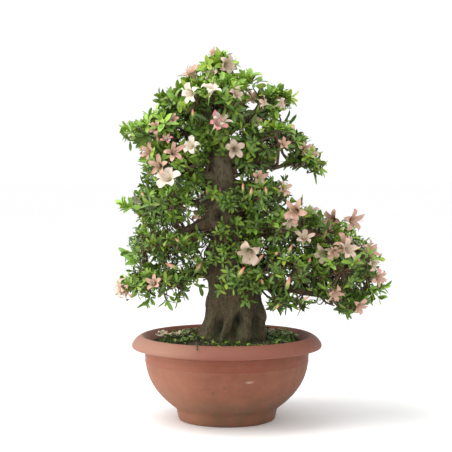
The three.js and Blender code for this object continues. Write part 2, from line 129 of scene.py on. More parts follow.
def piece(name, verts, faces, material, slot, replaces=(), uv=None, masks=None, smooth=True):
    """A mesh object from points in millimetres, riding on the root body."""
    mesh = bpy.data.meshes.new(name)
    mesh.from_pydata((np.asarray(verts) * MM).tolist(), [], [list(map(int, f)) for f in faces])
    if uv is not None:
        layer = mesh.uv_layers.new(name="OFBake")
        loops = np.zeros(len(mesh.loops), np.int64)
        mesh.loops.foreach_get("vertex_index", loops)
        layer.data.foreach_set("uv", np.asarray(uv, np.float32)[loops].ravel())
    set_masks(mesh, masks or {})
    mesh.update()
    mesh.polygons.foreach_set("use_smooth", np.full(len(mesh.polygons), smooth))
    obj = bpy.data.objects.new(name, mesh)
    bpy.context.scene.collection.objects.link(obj)
    obj.data.materials.append(material)
    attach(obj, "root")
    if replaces:
        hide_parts(*replaces)
    return obj


class Batch:
    """Meshes gathered into one: points, faces, and an optional place on the colour sheet."""

    def __init__(self):
        self.verts, self.faces, self.uv, self.count = [], [], [], 0

    def add(self, verts, faces, uv=None):
        verts = np.asarray(verts, float).reshape(-1, 3)
        self.verts.append(verts)
        self.faces += [tuple(int(i) + self.count for i in f) for f in faces]
        self.uv.append(np.zeros((len(verts), 2)) if uv is None else np.asarray(uv).reshape(-1, 2))
        self.count += len(verts)

    def add_copies(self, verts, faces, uv):
        """verts and uv hold one copy per row; faces index within one copy."""
        copies, each = verts.shape[:2]
        start = (np.arange(copies) * each + self.count)[:, None, None]
        self.faces += (np.asarray(faces)[None] + start).reshape(-1, len(faces[0])).tolist()
        self.verts.append(verts.reshape(-1, 3))
        self.uv.append(uv.reshape(-1, 2))
        self.count += copies * each

    def piece(self, name, material, slot, **options):
        verts, uv = np.vstack(self.verts), np.vstack(self.uv)
        return piece(name, verts, self.faces, material, slot, uv=uv, **options)


def grid_faces(rows, columns, wrap=False):
    """Quads of a rows by columns sheet of points. wrap joins the last column to the first."""
    faces = []
    for low in range(0, (rows - 1) * columns, columns):
        for c in range(columns if wrap else columns - 1):
            after = (c + 1) % columns
            faces.append((low + c, low + after, low + columns + after, low + columns + c))
    return faces


def tube(line, radii, sides=6, closed=True):
    """Points and faces of a round stem along a line, with a radius at each point."""
    line = np.asarray(line, float)
    radii = np.broadcast_to(np.asarray(radii, float), len(line))
    tangent = unit(np.gradient(line, axis=0))
    side = across(tangent[:1])[0][0]
    rings = []
    for p, t, r in zip(line, tangent, radii):
        side = unit(side - t * np.dot(side, t))
        other = np.cross(t, side)
        turn = np.linspace(0, 2 * math.pi, sides, endpoint=False)[:, None]
        rings.append(p + r * (np.cos(turn) * side + np.sin(turn) * other))
    faces = grid_faces(len(line), sides, wrap=True)
    verts = np.vstack(rings)
    if closed:
        faces.append(tuple(range(sides))[::-1])
        faces.append(tuple(range(len(verts) - sides, len(verts))))
    return verts, faces


# ------------------------------------------------------------------ node helpers
class Paint:
    """A Principled material built from a few procedural steps."""

    def __init__(self, name, roughness, **sockets):
        self.material = bpy.data.materials.new(name)
        self.material.use_nodes = True
        self.tree = self.material.node_tree
        self.shader = self.tree.nodes["Principled BSDF"]
        self.shader.inputs["Roughness"].default_value = roughness
        for socket, value in sockets.items():
            self.shader.inputs[socket.replace("_", " ")].default_value = value
        self._place = None

    def node(self, kind, **settings):
        made = self.tree.nodes.new(kind)
        for key, value in settings.items():
            setattr(made, key, value)
        return made

    def feed(self, socket, value):
        if isinstance(value, bpy.types.NodeSocket):
            self.tree.links.new(value, socket)
        else:
            socket.default_value = value

    def place(self, stretch):
        """Points of the object in millimetres, stretched along each axis."""
        if self._place is None:
            self._place = self.node("ShaderNodeTexCoord").outputs["Object"]
        scaled = self.node("ShaderNodeVectorMath", operation="MULTIPLY")
        self.feed(scaled.inputs[0], self._place)
        scaled.inputs[1].default_value = [s / MM for s in stretch]
        return scaled.outputs[0]

    def noise(self, size, stretch=(1, 1, 1), detail=4, roughness=0.6):
        made = self.node("ShaderNodeTexNoise")
        self.feed(made.inputs["Vector"], self.place(stretch))
        made.inputs["Scale"].default_value = 1 / size
        made.inputs["Detail"].default_value = detail
        made.inputs["Roughness"].default_value = roughness
        return made.outputs["Fac"]

    def cells(self, size):
        made = self.node("ShaderNodeTexVoronoi")
        self.feed(made.inputs["Vector"], self.place((1, 1, 1)))
        made.inputs["Scale"].default_value = 1 / size
        return made.outputs["Distance"]

    def attribute(self, name):
        return self.node("ShaderNodeAttribute", attribute_name=name).outputs["Fac"]

    def ramp(self, value, *stops):
        """Colours or grey values at positions along a value."""
        made = self.node("ShaderNodeValToRGB")
        self.feed(made.inputs["Fac"], value)
        elements = made.color_ramp.elements
        for index, (position, shade) in enumerate(stops):
            element = elements[index] if index < 2 else elements.new(position)
            element.position = position
        for element, (position, shade) in zip(elements, stops):
            element.color = (*((shade,) * 3 if isinstance(shade, (int, float)) else shade), 1)
        return made.outputs["Color"]

    def mix(self, share, a, b, blend="MIX"):
        made = self.node("ShaderNodeMix", data_type="RGBA", blend_type=blend)
        self.feed(made.inputs["Factor"], share)
        for socket, value in ((made.inputs[6], a), (made.inputs[7], b)):
            self.feed(socket, value if isinstance(value, bpy.types.NodeSocket) else (*value, 1))
        return made.outputs[2]

    def math(self, operation, a, b=0.0, c=0.0):
        made = self.node("ShaderNodeMath", operation=operation)
        for socket, value in zip(made.inputs, (a, b, c)):
            self.feed(socket, value)
        return made.outputs[0]

    def times(self, a, b):
        return self.math("MULTIPLY", a, b)

    def sheet(self):
        """The two places of a point on the piece's colour sheet, each from 0 to 1."""
        uv = self.node("ShaderNodeUVMap", uv_map="OFBake").outputs[0]
        split = self.node("ShaderNodeSeparateXYZ")
        self.feed(split.inputs[0], uv)
        return split.outputs[0], split.outputs[1]

    def bump(self, height, depth, strength=1.0):
        made = self.node("ShaderNodeBump")
        self.feed(made.inputs["Height"], height)
        made.inputs["Distance"].default_value = depth * MM
        made.inputs["Strength"].default_value = strength
        if self.shader.inputs["Normal"].is_linked:
            self.feed(made.inputs["Normal"], self.shader.inputs["Normal"].links[0].from_socket)
        self.tree.links.new(made.outputs[0], self.shader.inputs["Normal"])

    def colour(self, value):
        """Sets the colour that later coats go over."""
        self.base = value
        self.feed(self.shader.inputs["Base Color"], value)

    def coat(self, share, colour):
        """Mixes a colour over what is painted so far."""
        self.colour(self.mix(share, self.base, colour))

    def patches(self, colour, low, high, most, *noise, **options):
        """A coat where noise is over low, which reaches its most at high."""
        self.coat(self.ramp(self.noise(*noise, **options), (low, 0.0), (high, most)), colour)

    def rough(self, value):
        self.feed(self.shader.inputs["Roughness"], value)


# ------------------------------------------------------------------ camera
CAMERA_DISTANCE = 2.25
CAMERA_HEIGHT = 0.4625
CAMERA_PITCH = -2.46
camera = bpy.data.objects.new("camera", bpy.data.cameras.new("camera"))
camera.data.lens = 94.7
camera.data.sensor_width = 36
camera.location = (-0.0016, -CAMERA_DISTANCE, CAMERA_HEIGHT)
camera.rotation_euler = (math.radians(90 + CAMERA_PITCH), 0, 0)
bpy.context.scene.collection.objects.link(camera)
bpy.context.scene.camera = camera
bpy.context.scene.view_settings.view_transform = "Standard"


# ------------------------------------------------------------------ materials
def clay_paint():
    """Unglazed terracotta: warm mottling, lime bloom, damp stains near the foot, faint turning, painted
    light on the left front.
    """
    p = Paint("clay", 0.66, Specular_IOR_Level=0.25)
    p.colour(p.ramp(p.noise(38, detail=6), (0.3, (0.205, 0.070, 0.039)), (0.7, (0.262, 0.098, 0.058))))
    smears = p.ramp(p.noise(9, (0.14, 0.14, 1), 4), (0.35, 0.45), (0.65, 1.0))
    p.coat(p.times(p.attribute("band"), smears), (0.225, 0.056, 0.031))
    p.patches((0.315, 0.150, 0.100), 0.54, 0.8, 0.45, 24, (0.6, 0.6, 1.4), 5, 0.7)
    p.coat(p.times(p.attribute("rim"), 0.85), (0.240, 0.088, 0.063))
    streaks = p.ramp(p.noise(18, (1, 1, 0.3), 5), (0.32, 0.12), (0.68, 0.85))
    p.coat(p.times(p.attribute("stain"), streaks), (0.130, 0.086, 0.046))
    # Painted light: the left front side, and most of all its rim, is painted paler where the lamps light
    # it.
    painted_light_tint = p.mix(p.attribute("rim"), (0.48, 0.225, 0.138), (0.42, 0.250, 0.175))
    p.coat(p.times(p.attribute("painted_lit_side"), 0.5), painted_light_tint)
    specks = p.ramp(p.cells(7), (0.030, 1.0), (0.06, 0.0))
    p.coat(p.times(specks, 0.5), (0.12, 0.06, 0.04))
    p.coat(p.attribute("scratch"), (0.40, 0.24, 0.18))
    p.coat(p.attribute("mark"), (0.13, 0.07, 0.045))
    p.rough(p.ramp(p.noise(12), (0.3, 0.5), (0.7, 0.72)))
    p.bump(p.noise(160, (0.02, 0.02, 60), 3), 0.35, 0.7)
    p.bump(p.noise(1.6, detail=5), 0.28, 0.8)
    return p.material


def bark_paint():
    """Old azalea bark: brown plates stretched up the trunk, pale ridges, dark cracks, damp green
    moss low down and in the lower hollows, painted shade in the hollows and painted light higher up."""
    p = Paint("bark", 0.85)
    upright = (1, 1, 0.4)
    plates = p.noise(12, upright, 6, 0.7)
    p.colour(
        p.ramp(
            plates,
            (0.28, (0.030, 0.020, 0.009)),
            (0.5, (0.066, 0.045, 0.020)),
            (0.74, (0.142, 0.101, 0.050)),
        )
    )
    p.coat(p.times(p.attribute("crest"), 0.75), (0.152, 0.108, 0.056))
    for tint, low, high, size, detail in (
        ((0.150, 0.122, 0.062), 0.48, 0.7, 30, 5),  # pale
        ((0.112, 0.060, 0.034), 0.5, 0.68, 24, 4),  # russet
        ((0.058, 0.060, 0.020), 0.45, 0.72, 40, 5),  # algae
    ):
        p.patches(tint, low, high, 0.6, size, detail=detail)
    # Painted light: the upper trunk, shaded by the foliage, is painted paler, as if lit.
    p.coat(p.times(p.attribute("height"), 0.5), (0.200, 0.168, 0.102))
    cracks = p.ramp(p.noise(4.2, upright, 5, 0.7), (0.38, 0.85), (0.50, 0.0))
    p.coat(cracks, (0.030, 0.021, 0.011))
    p.patches((0.172, 0.130, 0.074), 0.53, 0.66, 0.5, 3.4, (1, 1, 0.7), 3, 0.8)
    # Painted shade: the deep hollows are painted near black.
    p.coat(p.attribute("hollow"), (0.014, 0.016, 0.006))
    damp = p.ramp(p.noise(8, detail=5), (0.42, 0.0), (0.62, 0.9))
    p.coat(p.times(p.attribute("moss"), damp), (0.046, 0.062, 0.014))
    p.bump(p.noise(8, upright, 6, 0.65), 2.6)
    p.bump(p.noise(2.2, (1, 1, 0.6), 6, 0.75), 0.9)
    return p.material


def twig_paint():
    """Young wood: reddish brown, with paler patches."""
    p = Paint("twig_bark", 0.8)
    p.colour(p.ramp(p.noise(7, detail=5), (0.3, (0.070, 0.034, 0.020)), (0.72, (0.205, 0.118, 0.072))))
    p.patches((0.120, 0.100, 0.050), 0.55, 0.75, 0.6, 18)
    p.bump(p.noise(1.2, (1, 1, 0.4), 5), 0.5)
    return p.material


# The leaves' rows are painted light: sunlit leaves take the brighter rows, shaded ones the darker.
CELLS = 4  # the leaves' colour sheet is 4 by 4 tints: brighter upwards, yellower to the right


def leaf_paint():
    """Glossy leaf. The sheet's row sets its painted light, from shade to sun, and its column how
    yellow. Then come the midrib and veins."""
    p = Paint("leaf", 0.42, Specular_IOR_Level=0.4)
    across_sheet, up_sheet = (p.times(place, CELLS) for place in p.sheet())
    column, row = p.math("FLOOR", across_sheet), p.math("FLOOR", up_sheet)
    side, along = p.math("FRACT", across_sheet), p.math("FRACT", up_sheet)
    # Painted light: darker greens for leaves in shade, lighter ones for sunlit leaves.
    painted_light_green = p.ramp(
        p.math("DIVIDE", row, CELLS - 1),
        (0.0, (0.046, 0.082, 0.014)),
        (0.34, (0.115, 0.205, 0.026)),
        (0.67, (0.225, 0.372, 0.038)),
        (1.0, (0.345, 0.520, 0.058)),
    )
    tint = p.ramp(
        p.math("DIVIDE", column, CELLS - 1),
        (0.0, (0.78, 0.93, 1.15)),
        (0.34, (0.92, 1.0, 1.0)),
        (0.67, (1.10, 1.0, 0.85)),
        (1.0, (1.30, 0.98, 0.80)),
    )
    p.colour(p.mix(1.0, painted_light_green, tint, "MULTIPLY"))
    from_rib = p.math("ABSOLUTE", p.math("SUBTRACT", side, 0.5))
    p.coat(p.ramp(from_rib, (0.012, 0.75), (0.045, 0.0)), (0.30, 0.42, 0.13))
    slant = p.math("MULTIPLY_ADD", from_rib, -1.1, along)
    veins = p.ramp(p.math("SINE", p.times(slant, 62.0)), (0.7, 0.0), (0.98, 0.28))
    p.coat(veins, (0.20, 0.34, 0.08))
    dry_tip = p.ramp(along, (0.86, 0.0), (1.0, 0.5))
    p.coat(p.times(dry_tip, p.ramp(column, (0.0, 0.4), (1.0, 1.0))), (0.30, 0.26, 0.06))
    return p.material


def petal_paint():
    """Thin petal. The sheet's four cells hold white flowers, white ones edged with pink, soft pink
    ones and deep pink ones."""
    p = Paint("petal", 0.55, Specular_IOR_Level=0.25)
    across_sheet, up_sheet = (p.times(place, 2.0) for place in p.sheet())
    pink, deep = p.math("FLOOR", across_sheet), p.math("FLOOR", up_sheet)
    x, y = (p.math("SUBTRACT", p.math("FRACT", place), 0.5) for place in (across_sheet, up_sheet))
    far = p.math("SQRT", p.math("ADD", p.times(x, x), p.times(y, y)))
    turn = p.math("SUBTRACT", p.math("ARCTAN2", y, x), math.pi / 2)
    # Colours from the throat out to the petals' tips.
    throat_green = (0.04, (0.46, 0.44, 0.20))
    white = p.ramp(
        far,
        throat_green,
        (0.16, (0.70, 0.63, 0.48)),
        (0.28, (0.78, 0.71, 0.60)),
        (0.45, (0.84, 0.79, 0.70)),
    )
    edged = p.ramp(
        far,
        throat_green,
        (0.16, (0.49, 0.40, 0.28)),
        (0.32, (0.62, 0.51, 0.40)),
        (0.45, (0.68, 0.46, 0.38)),
    )
    soft = p.ramp(
        far,
        (0.04, (0.46, 0.40, 0.18)),
        (0.16, (0.50, 0.33, 0.23)),
        (0.30, (0.57, 0.36, 0.28)),
        (0.45, (0.64, 0.36, 0.30)),
    )
    hot = p.ramp(
        far,
        (0.04, (0.50, 0.38, 0.20)),
        (0.16, (0.74, 0.54, 0.46)),
        (0.30, (0.82, 0.48, 0.45)),
        (0.45, (0.82, 0.22, 0.27)),
    )
    p.colour(p.mix(pink, p.mix(deep, white, edged), p.mix(deep, soft, hot)))
    from_rib = p.math("ABSOLUTE", p.math("SINE", p.times(turn, 2.5)))
    rib = p.ramp(from_rib, (0.02, 0.42), (0.22, 0.0))
    p.coat(p.times(rib, p.ramp(far, (0.1, 0.2), (0.26, 1.0))), (0.58, 0.34, 0.27))
    fine = p.ramp(p.math("SINE", p.times(turn, 55.0)), (0.4, 0.0), (1.0, 0.22))
    lines = p.times(fine, p.ramp(far, (0.08, 1.0), (0.42, 0.25)))
    p.coat(lines, (0.60, 0.40, 0.33))
    dots = p.node("ShaderNodeTexVoronoi")
    p.feed(dots.inputs["Vector"], p.node("ShaderNodeUVMap", uv_map="OFBake").outputs[0])
    dots.inputs["Scale"].default_value = 70
    spots = p.ramp(dots.outputs["Distance"], (0.18, 1.0), (0.3, 0.0))
    upper = p.ramp(p.math("DIVIDE", y, p.math("MAXIMUM", far, 0.01)), (0.72, 0.0), (0.92, 1.0))
    throat = p.times(p.ramp(far, (0.07, 0.0), (0.1, 1.0)), p.ramp(far, (0.22, 1.0), (0.31, 0.0)))
    p.coat(p.times(p.times(spots, upper), p.times(throat, 0.6)), (0.50, 0.24, 0.14))
    p.bump(lines, 0.25, 0.6)
    return p.material


def bud_paint():
    """Closed bud: green scales at its base, coral at its tip. The sheet runs along it."""
    p = Paint("bud", 0.45)
    u, v = p.sheet()
    p.colour(
        p.ramp(
            v,
            (0.08, (0.14, 0.24, 0.04)),
            (0.36, (0.34, 0.40, 0.11)),
            (0.56, (0.66, 0.42, 0.23)),
            (0.82, (0.72, 0.25, 0.20)),
            (1.0, (0.58, 0.14, 0.13)),
        )
    )
    folds = p.math("SINE", p.math("MULTIPLY_ADD", u, 31.4, p.times(v, 5.0)))
    p.coat(p.ramp(folds, (0.55, 0.0), (1.0, 0.4)), (0.36, 0.16, 0.10))
    return p.material


def stamen_paint():
    """Filament and anther: pale pink, with a darker tip."""
    p = Paint("stamen", 0.5)
    _, v = p.sheet()
    pale, tan, brown = (0.78, 0.62, 0.50), (0.50, 0.32, 0.20), (0.32, 0.20, 0.12)
    p.colour(p.ramp(v, (0.8, pale), (0.93, tan), (1.0, brown)))
    return p.material


def soil_paint():
    """Dark crumbly soil with a few pale grains and old leaf litter."""
    p = Paint("soil", 0.92)
    crumbs = p.noise(5, detail=6, roughness=0.75)
    p.colour(p.ramp(crumbs, (0.3, (0.012, 0.010, 0.006)), (0.72, (0.075, 0.058, 0.036))))
    p.patches((0.13, 0.095, 0.050), 0.6, 0.72, 0.6, 11, (1, 2.2, 1))
    grains = p.ramp(p.cells(4.2), (0.10, 1.0), (0.2, 0.0))
    p.coat(p.times(grains, 0.5), (0.20, 0.165, 0.115))
    p.bump(p.noise(2.4, detail=6, roughness=0.8), 2.2)
    return p.material


def moss_paint():
    """Moss cushions: mixed greens with brown stalks showing through."""
    p = Paint("moss", 0.95)
    tufts = p.noise(6, detail=6, roughness=0.75)
    p.colour(
        p.ramp(
            tufts,
            (0.28, (0.024, 0.030, 0.010)),
            (0.5, (0.062, 0.088, 0.020)),
            (0.74, (0.150, 0.200, 0.042)),
        )
    )
    p.patches((0.090, 0.072, 0.032), 0.5, 0.7, 0.6, 17)
    p.bump(p.noise(1.5, detail=5, roughness=0.8), 1.6)
    return p.material


def withered_paint():
    """Dried petal: straw and brown, mottled."""
    p = Paint("withered", 0.8)
    mottled = p.noise(6, detail=5)
    tan, straw, cream = (0.42, 0.24, 0.14), (0.78, 0.60, 0.42), (0.90, 0.80, 0.66)
    p.colour(p.ramp(mottled, (0.25, tan), (0.42, straw), (0.6, cream)))
    p.bump(p.noise(1.4), 0.3)
    return p.material


def plastic_paint():
    """Black drainage net."""
    p = Paint("plastic_net", 0.5)
    p.colour(p.ramp(p.noise(10), (0.3, 0.012), (0.7, 0.03)))
    p.bump(p.noise(2), 0.1, 0.5)
    return p.material


CLAY, BARK, TWIG, LEAF = clay_paint(), bark_paint(), twig_paint(), leaf_paint()
PETAL, BUD, STAMEN = petal_paint(), bud_paint(), stamen_paint()
SOIL, MOSS, WITHERED, NET = soil_paint(), moss_paint(), withered_paint(), plastic_paint()


# ------------------------------------------------------------------ the bowl
POT_HIGH = span("pot")[1]
POT_HEIGHT = POT_HIGH[2]
RIM = POT_HIGH[0]
BAND_BOTTOM = POT_HEIGHT - 23
MOUTH = RIM - 19
BODY = RIM - 24.5
FOOT = 92
FOOT_HEIGHT = 23
WALL = 9
GROOVE_INNER = 32
GROOVE_DEPTH = 4
FOOT_RING = 14
FLOOR_TOP = GROOVE_DEPTH + 12
HOLES, HOLE_RADIUS = 3, 9
LINE_HEIGHT = 111  # a raised line turned into the body, and an incised one above it
CUT_HEIGHT = 126


def body_outside(z):
    """Radius of the bowl's outside between its foot and its rim."""
    t = np.clip((np.asarray(z, float) - FOOT_HEIGHT) / (BAND_BOTTOM - FOOT_HEIGHT), 0, 1)
    low = FOOT + 6
    return low + (BODY - low) * (1 - (1 - t) ** 2.75)


def share_of_body(shares):
    """Heights at shares of the way from the foot up to the rim."""
    return FOOT_HEIGHT + (BAND_BOTTOM - FOOT_HEIGHT) * np.asarray(shares)


def bowl_profile():
    """Half section of the bowl: out along its underside, up, over the rim and down inside."""
    underside = [(0, 0), (GROOVE_INNER - 1, 0), (GROOVE_INNER + 1, 0.5)]
    ring = FOOT - FOOT_RING
    underside += [(GROOVE_INNER + 4, GROOVE_DEPTH), (ring - 4, GROOVE_DEPTH)]
    underside += [(ring - 1, 0.5), (ring + 1, 0), (FOOT - 3.5, 0)]
    flare = ((-1.4, 0.7), (-0.2, 2.6), (0.8, 6), (2.2, 13), (3.4, 18.5), (5.2, 21.8))
    foot = [(FOOT + out, z) for out, z in flare]
    body = []
    for z in share_of_body(np.linspace(0.012, 0.975, 60)):
        turning = 0.25 * math.sin(z * 1.9) * math.sin(z * 0.31)
        line = 0.9 * math.exp(-(((z - LINE_HEIGHT) / 1.2) ** 2))
        cut = 0.7 * math.exp(-((z - CUT_HEIGHT) ** 2))
        body.append((float(body_outside(z)) + turning + (line - cut), z))
    overhang = [(BODY + 0.6, BAND_BOTTOM - 1.0), (BODY + 4, BAND_BOTTOM - 0.6)]
    roll = ((-10, -0.5), (-4, -0.2), (-1.6, 0.4), (-0.4, 1.7), (0, 3.6), (-0.5, 6.0), (-2.0, 9.4))
    roll += ((-4.8, 13.4), (-8.6, 17.3), (-13.2, 20.6))
    lip = ((1.6, -0.5), (0, 0), (-1.6, -0.5), (-3.4, -2.2), (-7.0, -8), (-11.5, -15))
    rim = overhang + [(RIM + out, BAND_BOTTOM + up) for out, up in roll]
    rim += [(MOUTH + out, POT_HEIGHT + up) for out, up in lip]
    inside = [(float(body_outside(z)) - WALL, z) for z in share_of_body([1, 0.8, 0.6, 0.4, 0.2])]
    return underside + foot + body + rim + inside + [(FOOT - 4, FLOOR_TOP), (0, FLOOR_TOP)]


def bump_at(points, centre, size):
    """1 at a centre, falling smoothly to 0 at the ellipsoid's size."""
    d = np.linalg.norm((points - np.array(centre)) / np.array(size), axis=1)
    return 1 - smoothstep(0.55, 1.0, d)


def apply_modifier(obj, kind, **settings):
    """Adds a modifier and bakes it into the mesh."""
    modifier = obj.modifiers.new(kind.lower(), kind)
    for key, value in settings.items():
        setattr(modifier, key, value)
    depsgraph = bpy.context.evaluated_depsgraph_get()
    result = bpy.data.meshes.new_from_object(obj.evaluated_get(depsgraph), depsgraph=depsgraph)
    obj.modifiers.remove(modifier)
    old, obj.data = obj.data, result
    bpy.data.meshes.remove(old)


def make_pot():
    """The bowl, turned from its profile, a little out of round, with holes drilled in its groove."""
    sides = 224
    profile = np.array(bowl_profile())
    turn = np.linspace(0, 2 * math.pi, sides, endpoint=False)
    verts = []
    for r, z in profile[1:-1]:
        wobble = 1 + 0.0016 * np.sin(2 * turn + 0.6) + 0.0008 * np.sin(5 * turn + z * 0.02)
        wobble = np.where(z < 1, 1, np.minimum(wobble, RIM / max(r, 1)))
        x, y = r * wobble * np.cos(turn), r * wobble * np.sin(turn)
        verts.append(np.column_stack([x, y, np.full(sides, z)]))
    rows = len(verts)
    verts = np.vstack(verts + [[[0, 0, 0], [0, 0, FLOOR_TOP]]])
    faces = grid_faces(rows, sides, wrap=True)
    base, top = len(verts) - 2, len(verts) - 1
    faces += [(base, (c + 1) % sides, c) for c in range(sides)]
    last = (rows - 1) * sides
    faces += [(top, last + c, last + (c + 1) % sides) for c in range(sides)]
    height = verts[:, 2]
    radius = np.hypot(verts[:, 0], verts[:, 1])
    outer = radius > np.maximum(body_outside(height) - 3, 0)
    rim = smoothstep(BAND_BOTTOM - 1, BAND_BOTTOM + 1, height)
    band = smoothstep(108, 112, height) * (1 - rim) * (0.65 + 0.25 * np.sin(height * 1.3))
    stain = (1 - smoothstep(26, 84, height)) + 0.4 * smoothstep(40, 150, verts[:, 0]) * (1 - rim)
    # Painted light: the side facing the lamps at the left front, the rim most, gets a paler coat.
    front = unit(verts[:, :2] + 1e-6) @ np.array([-0.93, -0.37])
    painted_lit_side = smoothstep(0.45, 1.0, front) * (0.55 + 0.45 * rim)
    scratch = bump_at(verts, (40, -144.5, 93), (9, 9, 2.6)) * outer
    marks = [(-3, -148, 83, 2.6), (-25, -144, 72, 3.2), (47, -148, 134, 2.0), (52, -147, 133, 1.6)]
    mark = np.max([bump_at(verts, m[:3], (m[3], 14, m[3] * 1.4)) for m in marks], axis=0) * outer
    masks = {"rim": rim, "band": band, "stain": np.clip(stain, 0, 1)}
    masks |= {"painted_lit_side": painted_lit_side, "scratch": scratch, "mark": mark}
    bowl = piece("bowl", verts, faces, CLAY, "clay", ["pot"], masks=masks)
    drill = bpy.data.meshes.new("drill")
    mesh = bmesh.new()
    ring = (GROOVE_INNER + FOOT - FOOT_RING) / 2 * MM
    for i in range(HOLES):
        angle = (i + 0.25) / HOLES * 2 * math.pi
        size = {"radius1": HOLE_RADIUS * MM, "radius2": HOLE_RADIUS * MM, "depth": 0.06}
        place = Matrix.Translation((ring * math.cos(angle), ring * math.sin(angle), 0))
        bmesh.ops.create_cone(mesh, cap_ends=True, segments=32, matrix=place, **size)
    mesh.to_mesh(drill)
    mesh.free()
    tool = bpy.data.objects.new("drill", drill)
    bpy.context.scene.collection.objects.link(tool)
    apply_modifier(bowl, "BOOLEAN", object=tool, operation="DIFFERENCE", solver="EXACT")
    bpy.data.objects.remove(tool)


make_pot()


# ------------------------------------------------------------------ wood
SOIL_CROWN = 154  # height of the soil at the trunk
DRAWN_SOIL, DRAWN_TOP = 149, 700  # the heights between which the tables below are drawn
RISE = (703 - SOIL_CROWN) / (DRAWN_TOP - DRAWN_SOIL)


def lifted(points):
    """Points of the tables, moved to where the tree stands."""
    p = np.array(points, float)
    p[..., 2] = SOIL_CROWN + (p[..., 2] - DRAWN_SOIL) * RISE
    return p


# The trunk's axis and its radius there, in mm.
TRUNK = [
    (13, 2, 132, 54),
    (12, 1, 150, 58),
    (13, 0, 170, 57),
    (15, 0, 196, 56),
    (14, 0, 226, 51),
    (17, 0, 258, 46),
    (11, 1, 290, 42),
    (8, 2, 318, 41),
    (8, 2, 354, 34),
    (-2, 2, 392, 28),
    (-9, 2, 430, 25),
    (-12, 2, 466, 23),
    (-12, 3, 504, 20),
    (-12, 3, 548, 15),
    (-9, 2, 592, 10),
    (-8, 1, 632, 6),
    (-10, 0, 668, 2.4),
]

# Limbs: thickness in mm at the trunk and at the tip, and points along the limb.
LIMBS = {
    "branch_left_low": (
        11,
        2.4,
        [(0, 0, 262), (-48, -4, 272), (-100, -8, 264), (-148, -12, 250), (-182, -14, 246)],
    ),
    "branch_left_lower_middle": (
        13,
        2.6,
        [(0, -2, 372), (-52, -10, 364), (-96, -16, 344), (-132, -18, 328), (-162, -16, 318)],
    ),
    "branch_left_middle": (
        10,
        2.2,
        [(-4, 4, 402), (-52, 12, 404), (-96, 14, 408), (-132, 10, 398), (-160, 6, 392)],
    ),
    "branch_left_upper_middle": (
        9,
        2.2,
        [(-8, 0, 452), (-50, -12, 462), (-92, -18, 472), (-128, -20, 476)],
    ),
    "branch_left_shoulder": (8.5, 2, [(-10, 2, 512), (-54, 4, 530), (-98, 2, 541), (-150, 0, 546)]),
    "branch_left_crown": (6.5, 1.8, [(-9, 2, 566), (-38, 0, 586), (-66, -4, 598), (-94, -4, 606)]),
    "branch_right_low_front": (
        14,
        2.4,
        [(24, -6, 268), (74, -22, 252), (128, -28, 244), (184, -22, 231), (236, -14, 225), (272, -6, 232)],
    ),
    "branch_right_low_rear": (
        13,
        2.4,
        [(18, 8, 288), (80, 24, 284), (138, 32, 294), (196, 26, 306), (252, 14, 318)],
    ),
    "branch_right_lower_middle": (
        10,
        2.2,
        [(8, -4, 346), (54, -18, 350), (100, -20, 346), (142, -8, 350), (172, 4, 352)],
    ),
    "branch_right_middle": (9.5, 2, [(-6, 0, 434), (34, 2, 440), (68, -4, 428), (104, -6, 416)]),
    "branch_right_shoulder": (
        8.5,
        2,
        [(-11, 2, 492), (38, 4, 486), (88, 6, 473), (128, 4, 484), (166, 2, 488)],
    ),
    "branch_right_crown": (7, 1.8, [(-10, 2, 552), (30, 2, 562), (68, 2, 578), (98, 2, 590)]),
    "branch_back_low": (11, 2.4, [(4, 6, 312), (4, 58, 318), (-4, 104, 328), (-8, 140, 334)]),
    "branch_back_high": (8, 2, [(-10, 4, 460), (-2, 48, 470), (6, 90, 482), (8, 118, 490)]),
}
# Root buttresses: the way each faces (degrees from the front, towards +X), half width in
# degrees, how far it stands out in mm, and the height where it fades into the trunk.
ROOTS = [
    (-54, 13, 9, 240),
    (-20, 7, 13, 196),
    (23, 13, 10, 235),
    (72, 16, 13, 250),
    (112, 16, 10, 225),
    (150, 14, 12, 215),
    (-166, 17, 9, 235),
    (-122, 16, 11, 220),
    (-88, 20, 9, 240),
]
# Hollows and knots: place on the bark (degrees from the front, height), half sizes
# (degrees, mm) and depth in mm, outwards if below zero.
DENTS = [
    (9, 191, 10, 14, 23),
    (1, 169, 6, 14, 14),
    (-35, 177, 8, 18, 20),
    (49, 188, 7, 18, 15),
    (35, 226, 16, 12, 4),
    (-10, 224, 18, 12, 4),
    (76, 198, 26, 13, -7),
    (-88, 222, 26, 18, -4),
    (-86, 162, 24, 18, -5),
    (-70, 156, 16, 9, -8),
    (30, 160, 20, 8, -4),
    (-70, 386, 42, 24, -13),
    (-36, 385, 15, 10, 22),
    (-66, 318, 22, 15, -9),
    (-80, 268, 22, 14, -8),
    (60, 262, 30, 20, -5),
    (-15, 340, 16, 22, 4),
    (30, 300, 14, 26, 4),
    (95, 330, 20, 22, -5),
    (170, 380, 20, 16, 6),
    (140, 300, 22, 16, -6),
    (-150, 340, 18, 20, 5),
    (-20, 440, 22, 18, 3),
]
AXIS = lifted([t[:3] for t in TRUNK])
GIRTH = np.array([t[3] for t in TRUNK], float)


def trunk_centre(z):
    """The axis's x and y at heights."""
    return np.column_stack([np.interp(z, AXIS[:, 2], AXIS[:, 0]), np.interp(z, AXIS[:, 2], AXIS[:, 1])])


def turned(degrees, centre):
    """How far an angle is from a centre, in degrees, the short way round."""
    return (np.asarray(degrees, float) - centre + 180) % 360 - 180


